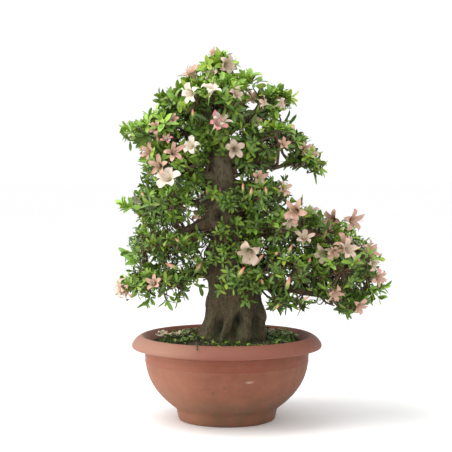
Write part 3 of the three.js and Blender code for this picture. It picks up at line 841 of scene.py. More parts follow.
def bark_relief(degrees, z):
    """Outward offset of the bark in mm, and how hollow it is there, from 0 to 1."""
    degrees, z = np.asarray(degrees, float), np.asarray(z, float)
    low = 1 - smoothstep(175, 275, z)
    offset, hollow = -6.0 * low, np.zeros_like(z)
    for facing, width, out, top in ROOTS:
        lean = (z - 150) * 0.10 * math.sin(facing * 0.11)
        fade = 1 - smoothstep(165, top, z)
        offset = offset + out * np.exp(-((turned(degrees, facing + lean) / width) ** 2)) * fade
    for facing, height, wide, tall, depth in DENTS:
        d = (turned(degrees, facing) / wide) ** 2 + ((z - height) / tall) ** 2
        offset = offset - depth * np.exp(-d)
        if depth > 5:
            hollow = np.maximum(hollow, np.exp(-1.4 * d))
    twist = degrees + 0.16 * (z - 150)
    offset = offset + 1.5 * np.sin(np.radians(twist * 7 + 20)) * (0.4 + low)
    offset = offset + 1.6 * np.sin(np.radians(twist * 4 - 60 + 30 * np.sin(z / 31)))
    return offset, hollow ** 0.8


def trunk_mesh():
    """Rings round the trunk's axis with the bark's relief, closed at both ends."""
    heights = np.concatenate([np.linspace(AXIS[0, 2], 420, 100), np.linspace(424, AXIS[-1, 2], 60)])
    sides = 96
    degrees = np.linspace(-180, 180, sides, endpoint=False)
    a = np.radians(degrees)
    verts = []
    for z, (x, y) in zip(heights, trunk_centre(heights)):
        r = np.interp(z, AXIS[:, 2], GIRTH)
        offset, _ = bark_relief(degrees, np.full(sides, z))
        reach = np.maximum(r + offset * min(1, r / 28), 1.2)
        verts.append(np.column_stack([x + reach * np.sin(a), y - reach * np.cos(a), np.full(sides, z)]))
    verts = np.vstack(verts)
    faces = grid_faces(len(heights), sides, wrap=True)
    faces += [tuple(range(sides))[::-1], tuple(range(len(verts) - sides, len(verts)))]
    return verts, faces


def limb_line(name):
    """The curve that a limb follows."""
    return route(lifted(LIMBS[name][2]), 40)


def limb_radii(name, count):
    """Radii along a limb: a collar at the trunk, then thinner and thinner, with knuckles."""
    thick, thin, _ = LIMBS[name]
    t = np.linspace(0, 1, count)
    knuckles = 1 + 0.10 * np.sin(t * 37 + len(name)) + 0.07 * np.sin(t * 71 + 2)
    collar = 1 + 0.5 * np.exp(-((t / 0.22) ** 2))
    return (thin + (thick - thin) * (1 - t) ** 1.3) * knuckles * collar


def make_wood():
    """Trunk and limbs as one skin, with the bark's relief pushed into it."""
    wood = Batch()
    wood.add(*trunk_mesh())
    for name in LIMBS:
        line = limb_line(name)
        line = line + 1.6 * np.column_stack([wander(line, 30, seed=k + len(name)) for k in range(3)])
        wood.add(*tube(line, limb_radii(name, len(line)), 10))
    obj = wood.piece("trunk_and_limbs", BARK, "bark", replaces=["trunk", *LIMBS])
    apply_modifier(obj, "REMESH", mode="VOXEL", voxel_size=1.9 * MM)
    mesh = obj.data
    co = np.zeros(len(mesh.vertices) * 3)
    normal = np.zeros(len(mesh.vertices) * 3)
    mesh.vertices.foreach_get("co", co)
    mesh.vertices.foreach_get("normal", normal)
    co, normal = co.reshape(-1, 3) / MM, normal.reshape(-1, 3)
    stretched = co * [1, 1, 0.4]
    fine = 1.5 * wander(stretched, 11, 4, 1) + 0.8 * wander(stretched, 4, 3, 2)
    rough = fine + 3.0 * wander(co, 34, 2, 9)
    centre = trunk_centre(co[:, 2])
    away = np.hypot(co[:, 0] - centre[:, 0], co[:, 1] - centre[:, 1])
    girth = np.interp(co[:, 2], AXIS[:, 2], GIRTH)
    on_trunk = 1 - smoothstep(1.15, 1.5, away / np.maximum(girth, 4))
    thin = np.clip(np.where(on_trunk > 0.5, girth, 6) / 26, 0.18, 1)
    co = co + normal * (rough * thin)[:, None]
    mesh.vertices.foreach_set("co", (co * MM).ravel())
    mesh.polygons.foreach_set("use_smooth", np.ones(len(mesh.polygons), bool))
    degrees = np.degrees(np.arctan2(co[:, 0] - centre[:, 0], -(co[:, 1] - centre[:, 1])))
    relief, hollow = bark_relief(degrees, co[:, 2])
    low = (1 - smoothstep(158, 196, co[:, 2])) + 0.7 * hollow * (1 - smoothstep(220, 300, co[:, 2]))
    masks = {
        # hollow: where painted shade darkens the deep hollows.
        "hollow": 0.9 * hollow * on_trunk,
        "moss": np.clip(low, 0, 1),
        "crest": smoothstep(-2, 7, relief) * on_trunk,
        # height: where painted light makes the upper trunk paler.
        "height": smoothstep(330, 470, co[:, 2]),
    }
    set_masks(mesh, masks)
    mesh.update()
    if not mesh.materials:
        mesh.materials.append(BARK)


make_wood()

# ------------------------------------------------------------------ leaves
ALONG = np.array([0, 0.15, 0.38, 0.62, 0.84, 1])  # places along a leaf, and its width there
OUTLINE = np.array([0.09, 0.50, 0.90, 1.0, 0.70, 0.06])
LEAF_SHAPE = (len(ALONG), 3)
LEAF_FACES = grid_faces(*LEAF_SHAPE)


def add_leaves(batch, base, direction, face, length, width, bend, fold, row, column):
    """Leaves from their bases. face is the way each upper side looks; bend curls the tip back."""
    count = len(base)
    d = unit(direction)
    n = unit(face - d * np.sum(face * d, axis=1, keepdims=True))
    s = np.cross(d, n)
    u = ALONG[None, :, None]
    b = np.where(np.abs(bend) < 0.02, 0.02, bend)[:, None, None]
    reach = length[:, None, None]
    along, away = np.sin(b * u) / b, (1 - np.cos(b * u)) / b
    middle = base[:, None] + reach * (along * d[:, None] - away * n[:, None])
    up = np.cos(b * u) * n[:, None] + np.sin(b * u) * d[:, None]
    half = (OUTLINE[None, :, None] * width[:, None, None]) / 2
    f = fold[:, None, None]
    out, rise = half * np.cos(f) * s[:, None], half * np.sin(f) * up
    sheets = [middle + k * out + abs(k) * rise for k in (-1, 0, 1)]
    verts = np.stack(sheets, axis=2).reshape(count, -1, 3)
    side = np.array([-1, 0, 1])[None, None] * 0.40 * np.maximum(OUTLINE, 0.2)[None, :, None]
    across_cell = np.broadcast_to(0.5 + side, (count, *LEAF_SHAPE))
    up_cell = np.broadcast_to(0.06 + 0.88 * ALONG[None, :, None], (count, *LEAF_SHAPE))
    u_sheet = (column[:, None, None] + across_cell) / CELLS
    v_sheet = (row[:, None, None] + up_cell) / CELLS
    uv = np.stack([u_sheet, v_sheet], axis=-1).reshape(count, -1, 2)
    batch.add_copies(verts, LEAF_FACES, uv)


def add_whorls(batch, place, axis, size, brightness, spread=1.0, number=(4, 7)):
    """Rosettes of leaves at shoot tips. brightness runs from 0, deep shade, to 1, sunlit."""
    counts = RNG.integers(number[0], number[1] + 1, len(place))
    owner = np.repeat(np.arange(len(place)), counts)
    order = np.concatenate([np.arange(c) for c in counts])
    share = order / counts[owner]
    a = unit(axis)[owner]
    side, other = across(a)
    turn = order * 2.4 + RNG.uniform(-0.35, 0.35, len(owner)) + (owner * 1.7) % 6.28
    out = np.cos(turn)[:, None] * side + np.sin(turn)[:, None] * other
    tilt = np.radians(70 - 42 * share + RNG.normal(0, 13, len(owner))) * spread
    direction = np.cos(tilt)[:, None] * a + np.sin(tilt)[:, None] * out
    face = np.sin(tilt)[:, None] * a - np.cos(tilt)[:, None] * out
    face = face + RNG.normal(0, 0.16, face.shape)
    length = size[owner] * RNG.uniform(0.72, 1.12, len(owner)) * (1 - 0.25 * share)
    width = length * RNG.uniform(0.27, 0.40, len(owner)) * (0.88 + 0.36 * brightness[owner])
    base = place[owner] + a * (share * 3.0 - 2)[:, None] + out * 0.6
    bend = RNG.normal(0.35, 0.28, len(owner))
    fold = RNG.uniform(0.12, 0.5, len(owner))
    # Painted light: sunlit leaves take the lighter rows, shaded ones the darker.
    level = brightness[owner] * 3.1 + RNG.normal(0, 0.55, len(owner)) + 0.5 * share
    row = np.clip(np.round(level), 0, CELLS - 1)
    column = RNG.choice(CELLS, len(owner), p=[0.24, 0.43, 0.28, 0.05])
    add_leaves(batch, base, direction, face, length, width, bend, fold, row, column)


# ------------------------------------------------------------------ pads
# Each pad: leaf length in mm, distance between shoots, share of light, how many of the shoots
# on its underside are kept, the noise level below which it is left open, and the limb that
# carries it, or None for the leader.
PADS = {
    "apex": (25, 17, 0.98, 0.8, -0.25, None),
    "left_crown": (27, 18, 0.92, 0.7, -0.06, "branch_left_crown"),
    "right_crown": (27, 18, 0.96, 0.7, 0.05, "branch_right_crown"),
    "front_crown": (26, 18, 0.70, 0.8, -0.08, None),
    "back_crown": (26, 20, 0.80, 0.7, -0.08, None),
    "left_shoulder": (25, 18, 0.84, 0.6, -0.02, "branch_left_shoulder"),
    "right_shoulder": (24, 18, 0.68, 0.5, 0.02, "branch_right_shoulder"),
    "left_upper_middle": (23, 18, 0.64, 0.7, -0.02, "branch_left_upper_middle"),
    "right_tip": (24, 19, 0.66, 0.6, -0.02, "branch_right_shoulder"),
    "back_middle": (24, 21, 0.62, 0.6, -0.06, "branch_back_high"),
    "left_middle": (21, 18, 0.52, 0.5, 0.04, "branch_left_middle"),
    "right_middle": (20, 17, 0.42, 0.7, -0.04, "branch_right_middle"),
    "left_lower_middle": (18, 16, 0.38, 0.6, 0.07, "branch_left_lower_middle"),
    "right_lower_middle": (21, 17, 0.48, 0.6, -0.04, "branch_right_lower_middle"),
    "left_low": (20, 17, 0.45, 0.4, 0.09, "branch_left_low"),
    "right_low_near": (20, 17, 0.42, 0.5, 0.00, "branch_right_low_front"),
    "right_low_far": (21, 17.5, 0.62, 0.6, 0.02, "branch_right_low_rear"),
    "right_droop_near": (20, 21, 0.24, 0.9, 0.04, "branch_right_low_front"),
    "right_droop_far": (20, 18, 0.42, 0.9, 0.0, "branch_right_low_front"),
    "back_low": (23, 21, 0.52, 0.5, -0.04, "branch_back_low"),
}
TOP_LINE = route(AXIS[-6:], 30)  # the leader
BOUNDS = np.array(CAD_BOX) / MM + [[8, 8, 8], [-8, -8, -12]]

# Flowers that the CAD has as solids: the way each faces, diameter in mm, kind and star shape.
# Kinds: 0 white, 1 soft pink, 2 deep pink, 3 white edged with pink. Star shape: see corolla().
CAD_FLOWERS = {
    "apex": ((0.6, -0.7, -0.1), 44, 3, 0.5),
    "crown_trumpet": ((-0.45, -0.5, 0.8), 44, 1, 0.5),
    "crown_left": ((-0.75, -0.8, -0.1), 44, 0, 0.55),
    "crown_front": ((0.5, -0.8, 0.6), 44, 2, 0.6),
    "front_white": ((0.1, -1, 0.05), 44, 3, 0.4),
    "left_cream": ((-0.6, -0.8, 0.5), 44, 0, 0.5),
    "left_pink": ((0.25, -1, 0.2), 44, 1, 0.95),
    "left_white": ((-0.3, -0.8, 0.6), 55, 0, 0.25),
    "right_pink": ((-0.3, -1, -0.05), 55, 1, 0.9),
    "middle_white": ((-0.35, -0.8, -0.55), 59.4, 3, 0.2),
    "far_right": ((0.6, -0.8, 0.0), 50.6, 1, 0.85),
    "right_low": ((0.6, -0.8, 0.4), 48.4, 3, 0.7),
    "left_tip": ((-1, -0.4, 0), 44, 3, 0.6),
}
# Smaller flowers on the front of the foliage: x and z in mm, then the same four.
FRONT_FLOWERS = [
    (-26, 692, (-0.5, -0.6, 0.6), 24, 1, 0.5),
    (-30, 650, (-0.6, -0.9, 0.6), 36, 3, 0.6),
    (-28, 620, (0.2, -0.5, 1), 44, 0, 0.4),
    (18, 609, (0.6, -0.8, 0.5), 33, 3, 0.5),
    (-8, 564, (0.5, -0.8, 0.9), 42, 0, 0.7),
    (146, 512, (0.4, -0.9, 0.2), 30, 1, 0.8),
    (-124, 480, (-0.3, -1, 0.2), 43, 1, 0.95),
    (-146, 506, (-0.8, -0.8, 0.3), 38, 1, 0.7),
    (-130, 549, (-0.4, -1, 0.3), 32, 1, 0.6),
    (-98, 566, (0.2, -1, 0.4), 26, 1, 0.7),
    (-110, 530, (-0.2, -1, 0.8), 28, 2, 0.8),
    (-54, 452, (0.4, -1, 0.3), 28, 1, 0.5),
    (66, 594, (-0.9, -0.5, 0.3), 30, 3, 0.6),
    (102, 593, (0.9, -0.5, 0.3), 32, 3, 0.6),
    (104, 520, (0.3, -1, 0.4), 28, 1, 0.7),
    (162, 503, (0.8, -0.7, 0.4), 36, 3, 0.8),
    (60, 459, (0.3, -1, 0.2), 32, 1, 0.6),
    (12, 470, (0.5, -1, 0.1), 26, 1, 0.6),
    (106, 438, (0.7, -0.7, 0.4), 38, 1, 0.95),
    (116, 376, (0.3, -0.7, -0.7), 42, 3, 0.8),
    (160, 396, (0.3, -0.7, 0.7), 36, 3, 0.7),
    (194, 379, (-0.5, -0.8, 0.0), 50, 1, 0.9),
    (140, 352, (0.1, -0.7, 0.8), 42, 3, 0.7),
    (176, 317, (-0.5, -0.9, -0.2), 48, 3, 0.8),
    (216, 338, (0.5, -0.8, 0.4), 50, 1, 0.8),
    (196, 322, (0.3, -0.8, -0.5), 36, 1, 0.8),
    (266, 327, (0.8, -0.7, 0.4), 42, 1, 0.8),
    (270, 300, (0.9, -0.6, 0.1), 38, 3, 0.7),
    (282, 272, (0.7, -0.8, -0.2), 44, 1, 0.7),
    (200, 243, (0.4, -0.7, -0.6), 42, 1, 0.8),
    (246, 220, (0.5, -0.9, -0.4), 38, 1, 0.7),
    (-192, 244, (-0.8, -0.6, -0.5), 42, 1, 0.7),
    (-134, 267, (-0.3, -0.8, 0.5), 36, 1, 0.7),
    (58, 562, (0.5, -1, 0.3), 26, 3, 0.6),
]


def foliage_surface():
    """The pads' outer surface, for setting flowers on it."""
    verts, faces = [], []
    for pad in PADS:
        mesh = NODES["foliage_" + pad].data
        start = len(verts)
        verts += [v.co.copy() for v in mesh.vertices]
        faces += [[i + start for i in p.vertices] for p in mesh.polygons]
    return BVHTree.FromPolygons(verts, faces)


SURFACE = foliage_surface()


def on_front(x, z, proud):
    """The place proud mm before the foliage's front, or before the nearest foliage beside it."""
    hit = SURFACE.ray_cast(Vector((x * MM, -1.0, z * MM)), Vector((0, 1, 0)))[0]
    if hit is None:
        hit = SURFACE.find_nearest(Vector((x * MM, -0.02, z * MM)))[0]
    return np.array([x, hit.y / MM - proud, z], float)


# The tree's outline seen from the front: x and z in mm, clockwise from the top.
OUTLINE_FRONT = [
    (-9, 704), (8, 693), (9, 676), (4, 663), (25, 652), (55, 650), (66, 636),
    (104, 641), (124, 627), (133, 610), (112, 600), (106, 584), (112, 570), (132, 566),
    (152, 545), (152, 530), (172, 517), (182, 494), (190, 466), (178, 462), (168, 480),
    (148, 493), (135, 491), (136, 472), (110, 458), (108, 445), (123, 428), (144, 415),
    (162, 403), (191, 391), (200, 380), (222, 388), (240, 388), (248, 370), (257, 350),
    (275, 342), (288, 324), (288, 298), (301, 282), (311, 262), (312, 242), (294, 226),
    (267, 222), (249, 202), (230, 188), (210, 198), (206, 222), (180, 234), (166, 209),
    (138, 215), (112, 210), (84, 216), (72, 238), (20, 222), (-28, 240), (-40, 264),
    (-58, 252), (-70, 238), (-108, 235), (-146, 237), (-186, 230), (-208, 244), (-213, 262),
    (-206, 273), (-174, 284), (-192, 304), (-204, 314), (-184, 324), (-190, 338), (-169, 354),
    (-179, 366), (-154, 380), (-176, 392), (-208, 404), (-194, 418), (-164, 416), (-156, 430),
    (-174, 442), (-160, 458), (-168, 480), (-163, 512), (-188, 525), (-208, 538), (-198, 560),
    (-172, 571), (-153, 589), (-138, 604), (-130, 622), (-110, 631), (-88, 636), (-78, 652),
    (-58, 662), (-46, 676), (-38, 692), (-24, 702),
]
# Openings right through the foliage: x, z and half sizes in mm.
OPENINGS = [
    (48, 626, 27, 19),
    (46, 597, 24, 16),
    (92, 473, 30, 13),
    (-62, 370, 25, 18),
    (-50, 322, 13, 20),
    (-46, 258, 24, 20),
    (146, 238, 24, 10),
    (-26, 596, 10, 8),
    (64, 548, 12, 8),
    (-118, 402, 12, 8),
]
EYE_DISTANCE, EYE_HEIGHT = CAMERA_DISTANCE / MM, CAMERA_HEIGHT / MM


def seen(place):
    """Where each place appears, from the front, in the plane through the trunk."""
    grow = (EYE_DISTANCE / (EYE_DISTANCE + place[:, 1]))[:, None]
    return [0, EYE_HEIGHT] + (place[:, [0, 2]] - [0, EYE_HEIGHT]) * grow


def within(points, outline):
    """Whether each point lies inside a closed outline."""
    inside = np.zeros(len(points), bool)
    for (x1, z1), (x2, z2) in zip(outline, outline[1:] + outline[:1]):
        crosses = (z1 > points[:, 1]) != (z2 > points[:, 1])
        edge = x1 + (points[:, 1] - z1) * (x2 - x1) / ((z2 - z1) or 1e-9)
        inside ^= crosses & (points[:, 0] < edge)
    return inside


FLOWER_PROUD = 10  # how far the smaller flowers stand before the foliage, in mm


def flower_spots():
    """The space in front of each flower, which leaves keep out of: centre and radius."""
    spots = [(middle_of("flower_" + name) + unit(row[0]) * 16, 20) for name, row in CAD_FLOWERS.items()]
    for x, z, direction, diameter, *_ in FRONT_FLOWERS:
        spots.append((on_front(x, z, FLOWER_PROUD) + unit(direction) * diameter * 0.3, diameter * 0.38))
    return spots


FLOWER_SPOTS = flower_spots()


def has_room(place, axis, size):
    """Whether a shoot stays inside the outline and clear of the openings and the flowers."""
    reach = place + axis * size * 0.78
    keep = within(seen(reach) + RNG.normal(0, 2.5, (len(place), 2)), OUTLINE_FRONT)
    for x, z, wide, tall in OPENINGS:
        off = (seen(place + axis * size * 0.4) - [x, z]) / [wide, tall]
        keep &= np.hypot(off[:, 0], off[:, 1]) > 1.0 + RNG.normal(0, 0.12, len(place))
    for centre, radius in FLOWER_SPOTS:
        keep &= np.linalg.norm(place + axis * size * 0.3 - centre, axis=1) > radius
    return keep


def leafy(place, gaps):
    """Whether each place carries a shoot: one field of clumps and openings for the whole tree."""
    return wander(place, 30, 2, 11) > gaps + RNG.normal(0, 0.10, len(place))


def shoots_of(centre, half, size, spacing, under, gaps):
    """Shoot tips just inside a pad's surface, the way each one points, and its light."""
    sides = half * np.roll(half, 1)
    area = 4 * math.pi * np.mean(sides**1.6) ** (1 / 1.6)  # of an ellipsoid
    wanted = int(1.75 * area / spacing**2)
    golden = math.pi * (3 - math.sqrt(5))
    k = np.arange(wanted) + 0.5
    z = 1 - 2 * k / wanted
    ring = np.sqrt(1 - z * z)
    n = np.column_stack([ring * np.cos(golden * k), ring * np.sin(golden * k), z])
    n = unit(n + RNG.normal(0, 0.07, n.shape))
    lumps = wander(n * 100 + centre, 46, 2, 3)
    inner = RNG.random(wanted) < 0.36
    outer = ~inner & (RNG.random(wanted) < 0.18)
    depth = np.where(inner, RNG.uniform(0.35, 0.75, wanted), 1) * (1 + 0.36 * lumps)
    depth = depth + np.where(outer, RNG.uniform(0.10, 0.30, wanted), 0)
    inset = np.minimum(13.0, 0.32 * half.min())
    place = centre + n * (half - inset) * depth[:, None]
    normal = unit(n / half)
    keep = (normal[:, 2] > -0.35) | (RNG.random(wanted) < under)
    keep &= outer | leafy(place, gaps)
    keep &= (place > BOUNDS[0]).all(axis=1) & (place < BOUNDS[1]).all(axis=1)
    axis = unit(0.72 * normal + [0, 0, 0.68] + RNG.normal(0, 0.30, n.shape))
    light = np.clip(0.46 + 0.44 * normal[:, 2] + 0.6 * (depth - 0.92), 0, 1)
    keep &= has_room(place, axis, size)
    return place[keep], axis[keep], light[keep]


def add_twig(batch, joints, tip, pointing, choice, sway, radii):
    """A thin twig to a shoot from about the nearest joint, which it chooses within so many mm."""
    gap = np.linalg.norm(joints - tip, axis=1)
    root = joints[int(np.argmin(gap + RNG.uniform(0, choice, len(gap))))]
    bend = tip - pointing * min(14, 0.4 * np.linalg.norm(tip - root)) + RNG.normal(0, 2.0, 3)
    line = route([root, (root + bend) / 2 + RNG.normal(0, sway, 3), bend, tip], len(radii))
    batch.add(*tube(line, radii, 4, closed=False))


def add_side_branches(batch, limb, centre, half):
    """Side branches from a pad's limb into the pad. Returns the points where twigs may start."""
    stems = [limb[len(limb) // 3 :]]
    count = 7
    for i in range(count):
        angle = 2 * math.pi * (i + RNG.uniform(-0.2, 0.2)) / count
        end = centre + half * [0.66 * math.cos(angle), 0.66 * math.sin(angle), RNG.uniform(-0.2, 0.35)]
        nearest = int(np.argmin(np.linalg.norm(limb - end, axis=1)))
        start = limb[max(0, nearest - int(RNG.integers(2, 7)))]
        sag = (start + end) / 2 + RNG.normal(0, 7, 3) - [0, 0, 3]
        line = route([start, sag, end], 9)
        batch.add(*tube(line, np.linspace(3.0, 1.3, 9), 6))
        stems.append(line)
    return np.vstack(stems)


# Shoots between the pads and over the trunk: centre, half sizes, how many, leaf length, light.
FILLS = [
    ((-10, -44, 536), (44, 14, 24), 30, 24, 0.55),
    ((-60, -8, 498), (34, 30, 38), 40, 23, 0.50),
    ((48, -8, 496), (36, 28, 24), 34, 22, 0.46),
    ((10, -46, 418), (46, 12, 14), 26, 21, 0.42),
    ((-60, -10, 436), (28, 34, 28), 32, 22, 0.50),
    ((54, -42, 326), (32, 20, 62), 84, 20, 0.36),
    ((34, -54, 300), (26, 8, 54), 40, 19, 0.40),
    ((50, -10, 390), (34, 30, 34), 36, 21, 0.38),
    ((-62, -20, 366), (26, 26, 28), 22, 19, 0.45),
    ((-58, -20, 300), (20, 20, 36), 14, 19, 0.42),
    ((0, -20, 620), (56, 50, 36), 52, 26, 0.85),
    ((26, -8, 646), (36, 30, 22), 10, 27, 1.0),
    ((116, 0, 582), (34, 40, 34), 16, 25, 0.85),
    ((-118, -6, 578), (30, 40, 24), 26, 25, 0.85),
    ((-146, -6, 500), (26, 40, 30), 26, 23, 0.75),
    ((-150, 0, 436), (26, 40, 34), 26, 22, 0.68),
    ((-156, -6, 362), (24, 44, 30), 22, 20, 0.58),
    ((-164, -10, 286), (30, 40, 26), 24, 20, 0.58),
    ((-60, 0, 262), (34, 20, 14), 12, 18, 0.40),
    ((0, 40, 520), (60, 50, 60), 60, 24, 0.45),
    ((0, 50, 400), (60, 44, 50), 56, 23, 0.40),
    ((170, -4, 352), (40, 50, 26), 40, 22, 0.62),
    ((168, -14, 262), (40, 40, 22), 40, 20, 0.50),
    ((250, -6, 250), (46, 40, 26), 40, 20, 0.58),
    ((-118, -10, 384), (30, 34, 16), 40, 20, 0.50),
    ((-106, -16, 320), (42, 34, 16), 44, 18, 0.42),
    ((-48, -20, 536), (22, 34, 36), 34, 24, 0.50),
    ((28, -60, 274), (38, 8, 38), 56, 18, 0.24),
    ((-10, -52, 330), (26, 6, 34), 26, 17, 0.32),
    ((-176, -10, 252), (24, 34, 16), 20, 22, 0.60),
    ((196, -20, 330), (56, 40, 30), 40, 21, 0.55),
    ((186, -36, 248), (40, 20, 16), 40, 20, 0.42),
    ((116, -40, 214), (34, 20, 8), 8, 20, 0.24),
    ((148, -10, 514), (24, 30, 14), 22, 24, 0.55),
    ((118, -10, 558), (16, 30, 10), 12, 24, 0.75),
    ((164, -10, 486), (16, 20, 12), 10, 25, 0.45),
    ((-48, -20, 306), (12, 24, 24), 14, 19, 0.40),
]


LIMB_POINTS = np.vstack([limb_line(name) for name in LIMBS] + [TOP_LINE])


def make_fills():
    """The shoots of FILLS, pushed clear of the trunk, each with its twig."""
    leaves, twigs = Batch(), Batch()
    for centre, half, count, size, light in FILLS:
        n = unit(RNG.normal(0, 1, (2 * count, 3))) * RNG.uniform(0.25, 1, (2 * count, 1)) ** 0.5
        n = n[leafy(lifted(centre) + n * half, 0.02)][:count]
        count = len(n)
        place = lifted(centre) + n * half
        around = trunk_centre(place[:, 2])
        off = place[:, :2] - around
        clear = np.interp(place[:, 2], AXIS[:, 2], GIRTH) + 7
        push = np.maximum(1, clear / np.maximum(np.hypot(off[:, 0], off[:, 1]), 1))
        place[:, :2] = around + off * push[:, None]
        side = place[:, 0] - 0.4 * around[:, 0]
        outward = unit(np.column_stack([side, place[:, 1] * 1.3 - 8, np.zeros(count)]))
        axis = unit(0.7 * n + 0.7 * outward + [0, 0, 0.5] + RNG.normal(0, 0.3, n.shape))
        keep = has_room(place, axis, size)
        place, axis, n, count = place[keep], axis[keep], n[keep], int(keep.sum())
        if not count:
            continue
        lit = np.clip(light * (0.85 + 0.35 * n[:, 2]) + RNG.normal(0, 0.08, count), 0.05, 1)
        add_whorls(leaves, place, axis, size * RNG.uniform(0.8, 1.15, count), lit, number=(3, 6))
        for tip, pointing in zip(place, axis):
            add_twig(twigs, LIMB_POINTS, tip, pointing, 8, 3, np.linspace(1.9, 0.9, 6))
    leaves.piece("leaves_inner", LEAF, "leaf")
    twigs.piece("twigs_inner", TWIG, "bark")


def make_pad(name):
    """A pad's leaves and twigs, in place of its CAD solid."""
    size, spacing, light, under, gaps, carrier = PADS[name]
    low, high = span("foliage_" + name)
    centre, half = (low + high) / 2, (high - low) / 2
    place, axis, lit = shoots_of(centre, half, size, spacing, under, gaps)
    leaves, twigs = Batch(), Batch()
    brightness = np.clip(lit * light * 1.25, 0, 1)
    lengths = size * RNG.uniform(0.8, 1.15, len(place))
    add_whorls(leaves, place, axis, lengths, brightness)
    joints = add_side_branches(twigs, limb_line(carrier) if carrier else TOP_LINE, centre, half)
    for tip, pointing in zip(place, axis):
        add_twig(twigs, joints, tip, pointing, 6, 2, [1.7, 1.4, 1.2, 1.05, 0.9])
    leaves.piece("leaves_" + name, LEAF, "leaf", replaces=["foliage_" + name])
    twigs.piece("twigs_" + name, TWIG, "bark")


for pad_name in PADS:
    make_pad(pad_name)
make_fills()

# Shoots that stand out past the pads: place, the way it points, leaf length and light.
SPRIGS = [
    (-188, -6, 398, -1, 0, 0.25, 27, 0.8),
    (-196, 4, 402, -0.9, -0.3, 0.5, 25, 0.85),
    (-190, -4, 546, -1, -0.1, 0.1, 28, 0.85),
    (-170, -24, 546, -0.8, -0.2, 0.3, 27, 0.9),
    (-186, -10, 312, -1, -0.3, -0.1, 26, 0.7),
    (-176, -30, 300, -0.8, -0.6, -0.4, 24, 0.6),
    (-150, -30, 222, -0.3, -0.4, -1, 24, 0.6),
    (-112, -36, 224, 0.1, -0.4, -1, 25, 0.62),
    (-92, -34, 228, 0.3, -0.3, -1, 24, 0.6),
    (-52, -24, 250, 0.7, -0.4, -0.6, 24, 0.55),
    (176, -8, 470, 1, -0.2, -0.5, 28, 0.75),
    (172, 0, 488, 1, -0.1, 0.3, 26, 0.75),
    (44, -10, 640, 0.3, -0.2, 1, 31, 1.0),
    (58, -6, 634, 0.8, -0.2, 0.8, 30, 1.0),
    (118, 0, 605, 1, -0.1, 0.0, 27, 0.95),
    (92, -10, 618, 0.3, -0.2, 0.9, 25, 0.95),
    (12, -8, 668, 0.9, -0.2, 0.2, 23, 0.95),
    (-72, -10, 644, -0.5, -0.1, 0.8, 26, 0.95),
    (-56, -8, 652, 0.3, -0.1, 0.9, 25, 0.95),
    (296, -10, 246, 1, -0.2, -0.1, 25, 0.75),
    (284, -14, 300, 1, -0.2, 0.4, 25, 0.8),
    (286, -16, 228, 0.8, -0.4, -0.7, 24, 0.6),
    (236, -20, 212, 0.2, -0.4, -1, 26, 0.7),
    (138, -40, 214, 0.8, -0.3, -0.8, 24, 0.4),
    (84, -40, 214, -0.8, -0.3, -0.8, 25, 0.4),
    (134, -8, 404, 1, -0.2, 0.3, 24, 0.7),
    (208, -34, 364, 0.1, -0.3, 1, 25, 0.72),
    (152, -44, 382, 0, -0.3, 1, 23, 0.7),
    (272, -30, 306, 0.8, -0.3, 0.5, 25, 0.85),
    (-182, -20, 262, -0.9, -0.3, 0.2, 24, 0.7),
    (-168, -24, 240, -0.6, -0.4, -0.6, 23, 0.6),
]
# Shoots straight from the trunk's front, over the bark.
FRONT_SPRIGS = [
    (-6, -48, 366, -0.4, -1, 0.0, 20, 0.34),
    (16, -52, 368, 0.6, -1, 0.1, 23, 0.40),
    (34, -50, 362, 0.7, -1, 0.1, 20, 0.34),
    (-26, -50, 308, -0.5, -1, 0.4, 18, 0.26),
    (-38, -44, 292, -0.9, -0.7, -0.2, 18, 0.28),
    (-8, -56, 296, -0.2, -1, 0.5, 17, 0.28),
    (10, -58, 288, 0.2, -1, 0.3, 17, 0.30),
    (22, -60, 262, 0.5, -1, -0.1, 20, 0.40),
    (-2, -64, 258, -0.1, -1, 0.2, 20, 0.42),
    (-14, -60, 246, -0.6, -1, -0.4, 19, 0.44),
    (40, -62, 226, 0.3, -1, -0.8, 18, 0.32),
    (48, -62, 246, 0.6, -1, -0.5, 18, 0.30),
    (32, -60, 276, 0.3, -1, 0.2, 19, 0.32),
    (-22, -42, 424, -0.4, -1, 0.3, 21, 0.44),
    (6, -48, 420, 0.1, -1, 0.4, 21, 0.44),
    (26, -44, 408, 0.4, -1, 0.1, 21, 0.44),
    (8, -50, 402, 0, -1, -0.2, 20, 0.42),
    (-12, -48, 410, -0.3, -1, -0.1, 19, 0.40),
    (46, -50, 396, 0.5, -1, 0, 20, 0.44),
    (-6, -40, 504, -0.2, -1, 0.6, 22, 0.5),
    (-34, -44, 514, -0.3, -1, 0.4, 22, 0.5),
    (44, -46, 502, 0.5, -1, 0.2, 22, 0.5),
    (60, -66, 250, 0.6, -1, -0.3, 19, 0.34),
    (74, -60, 262, 0.6, -1, 0.1, 19, 0.36),
]


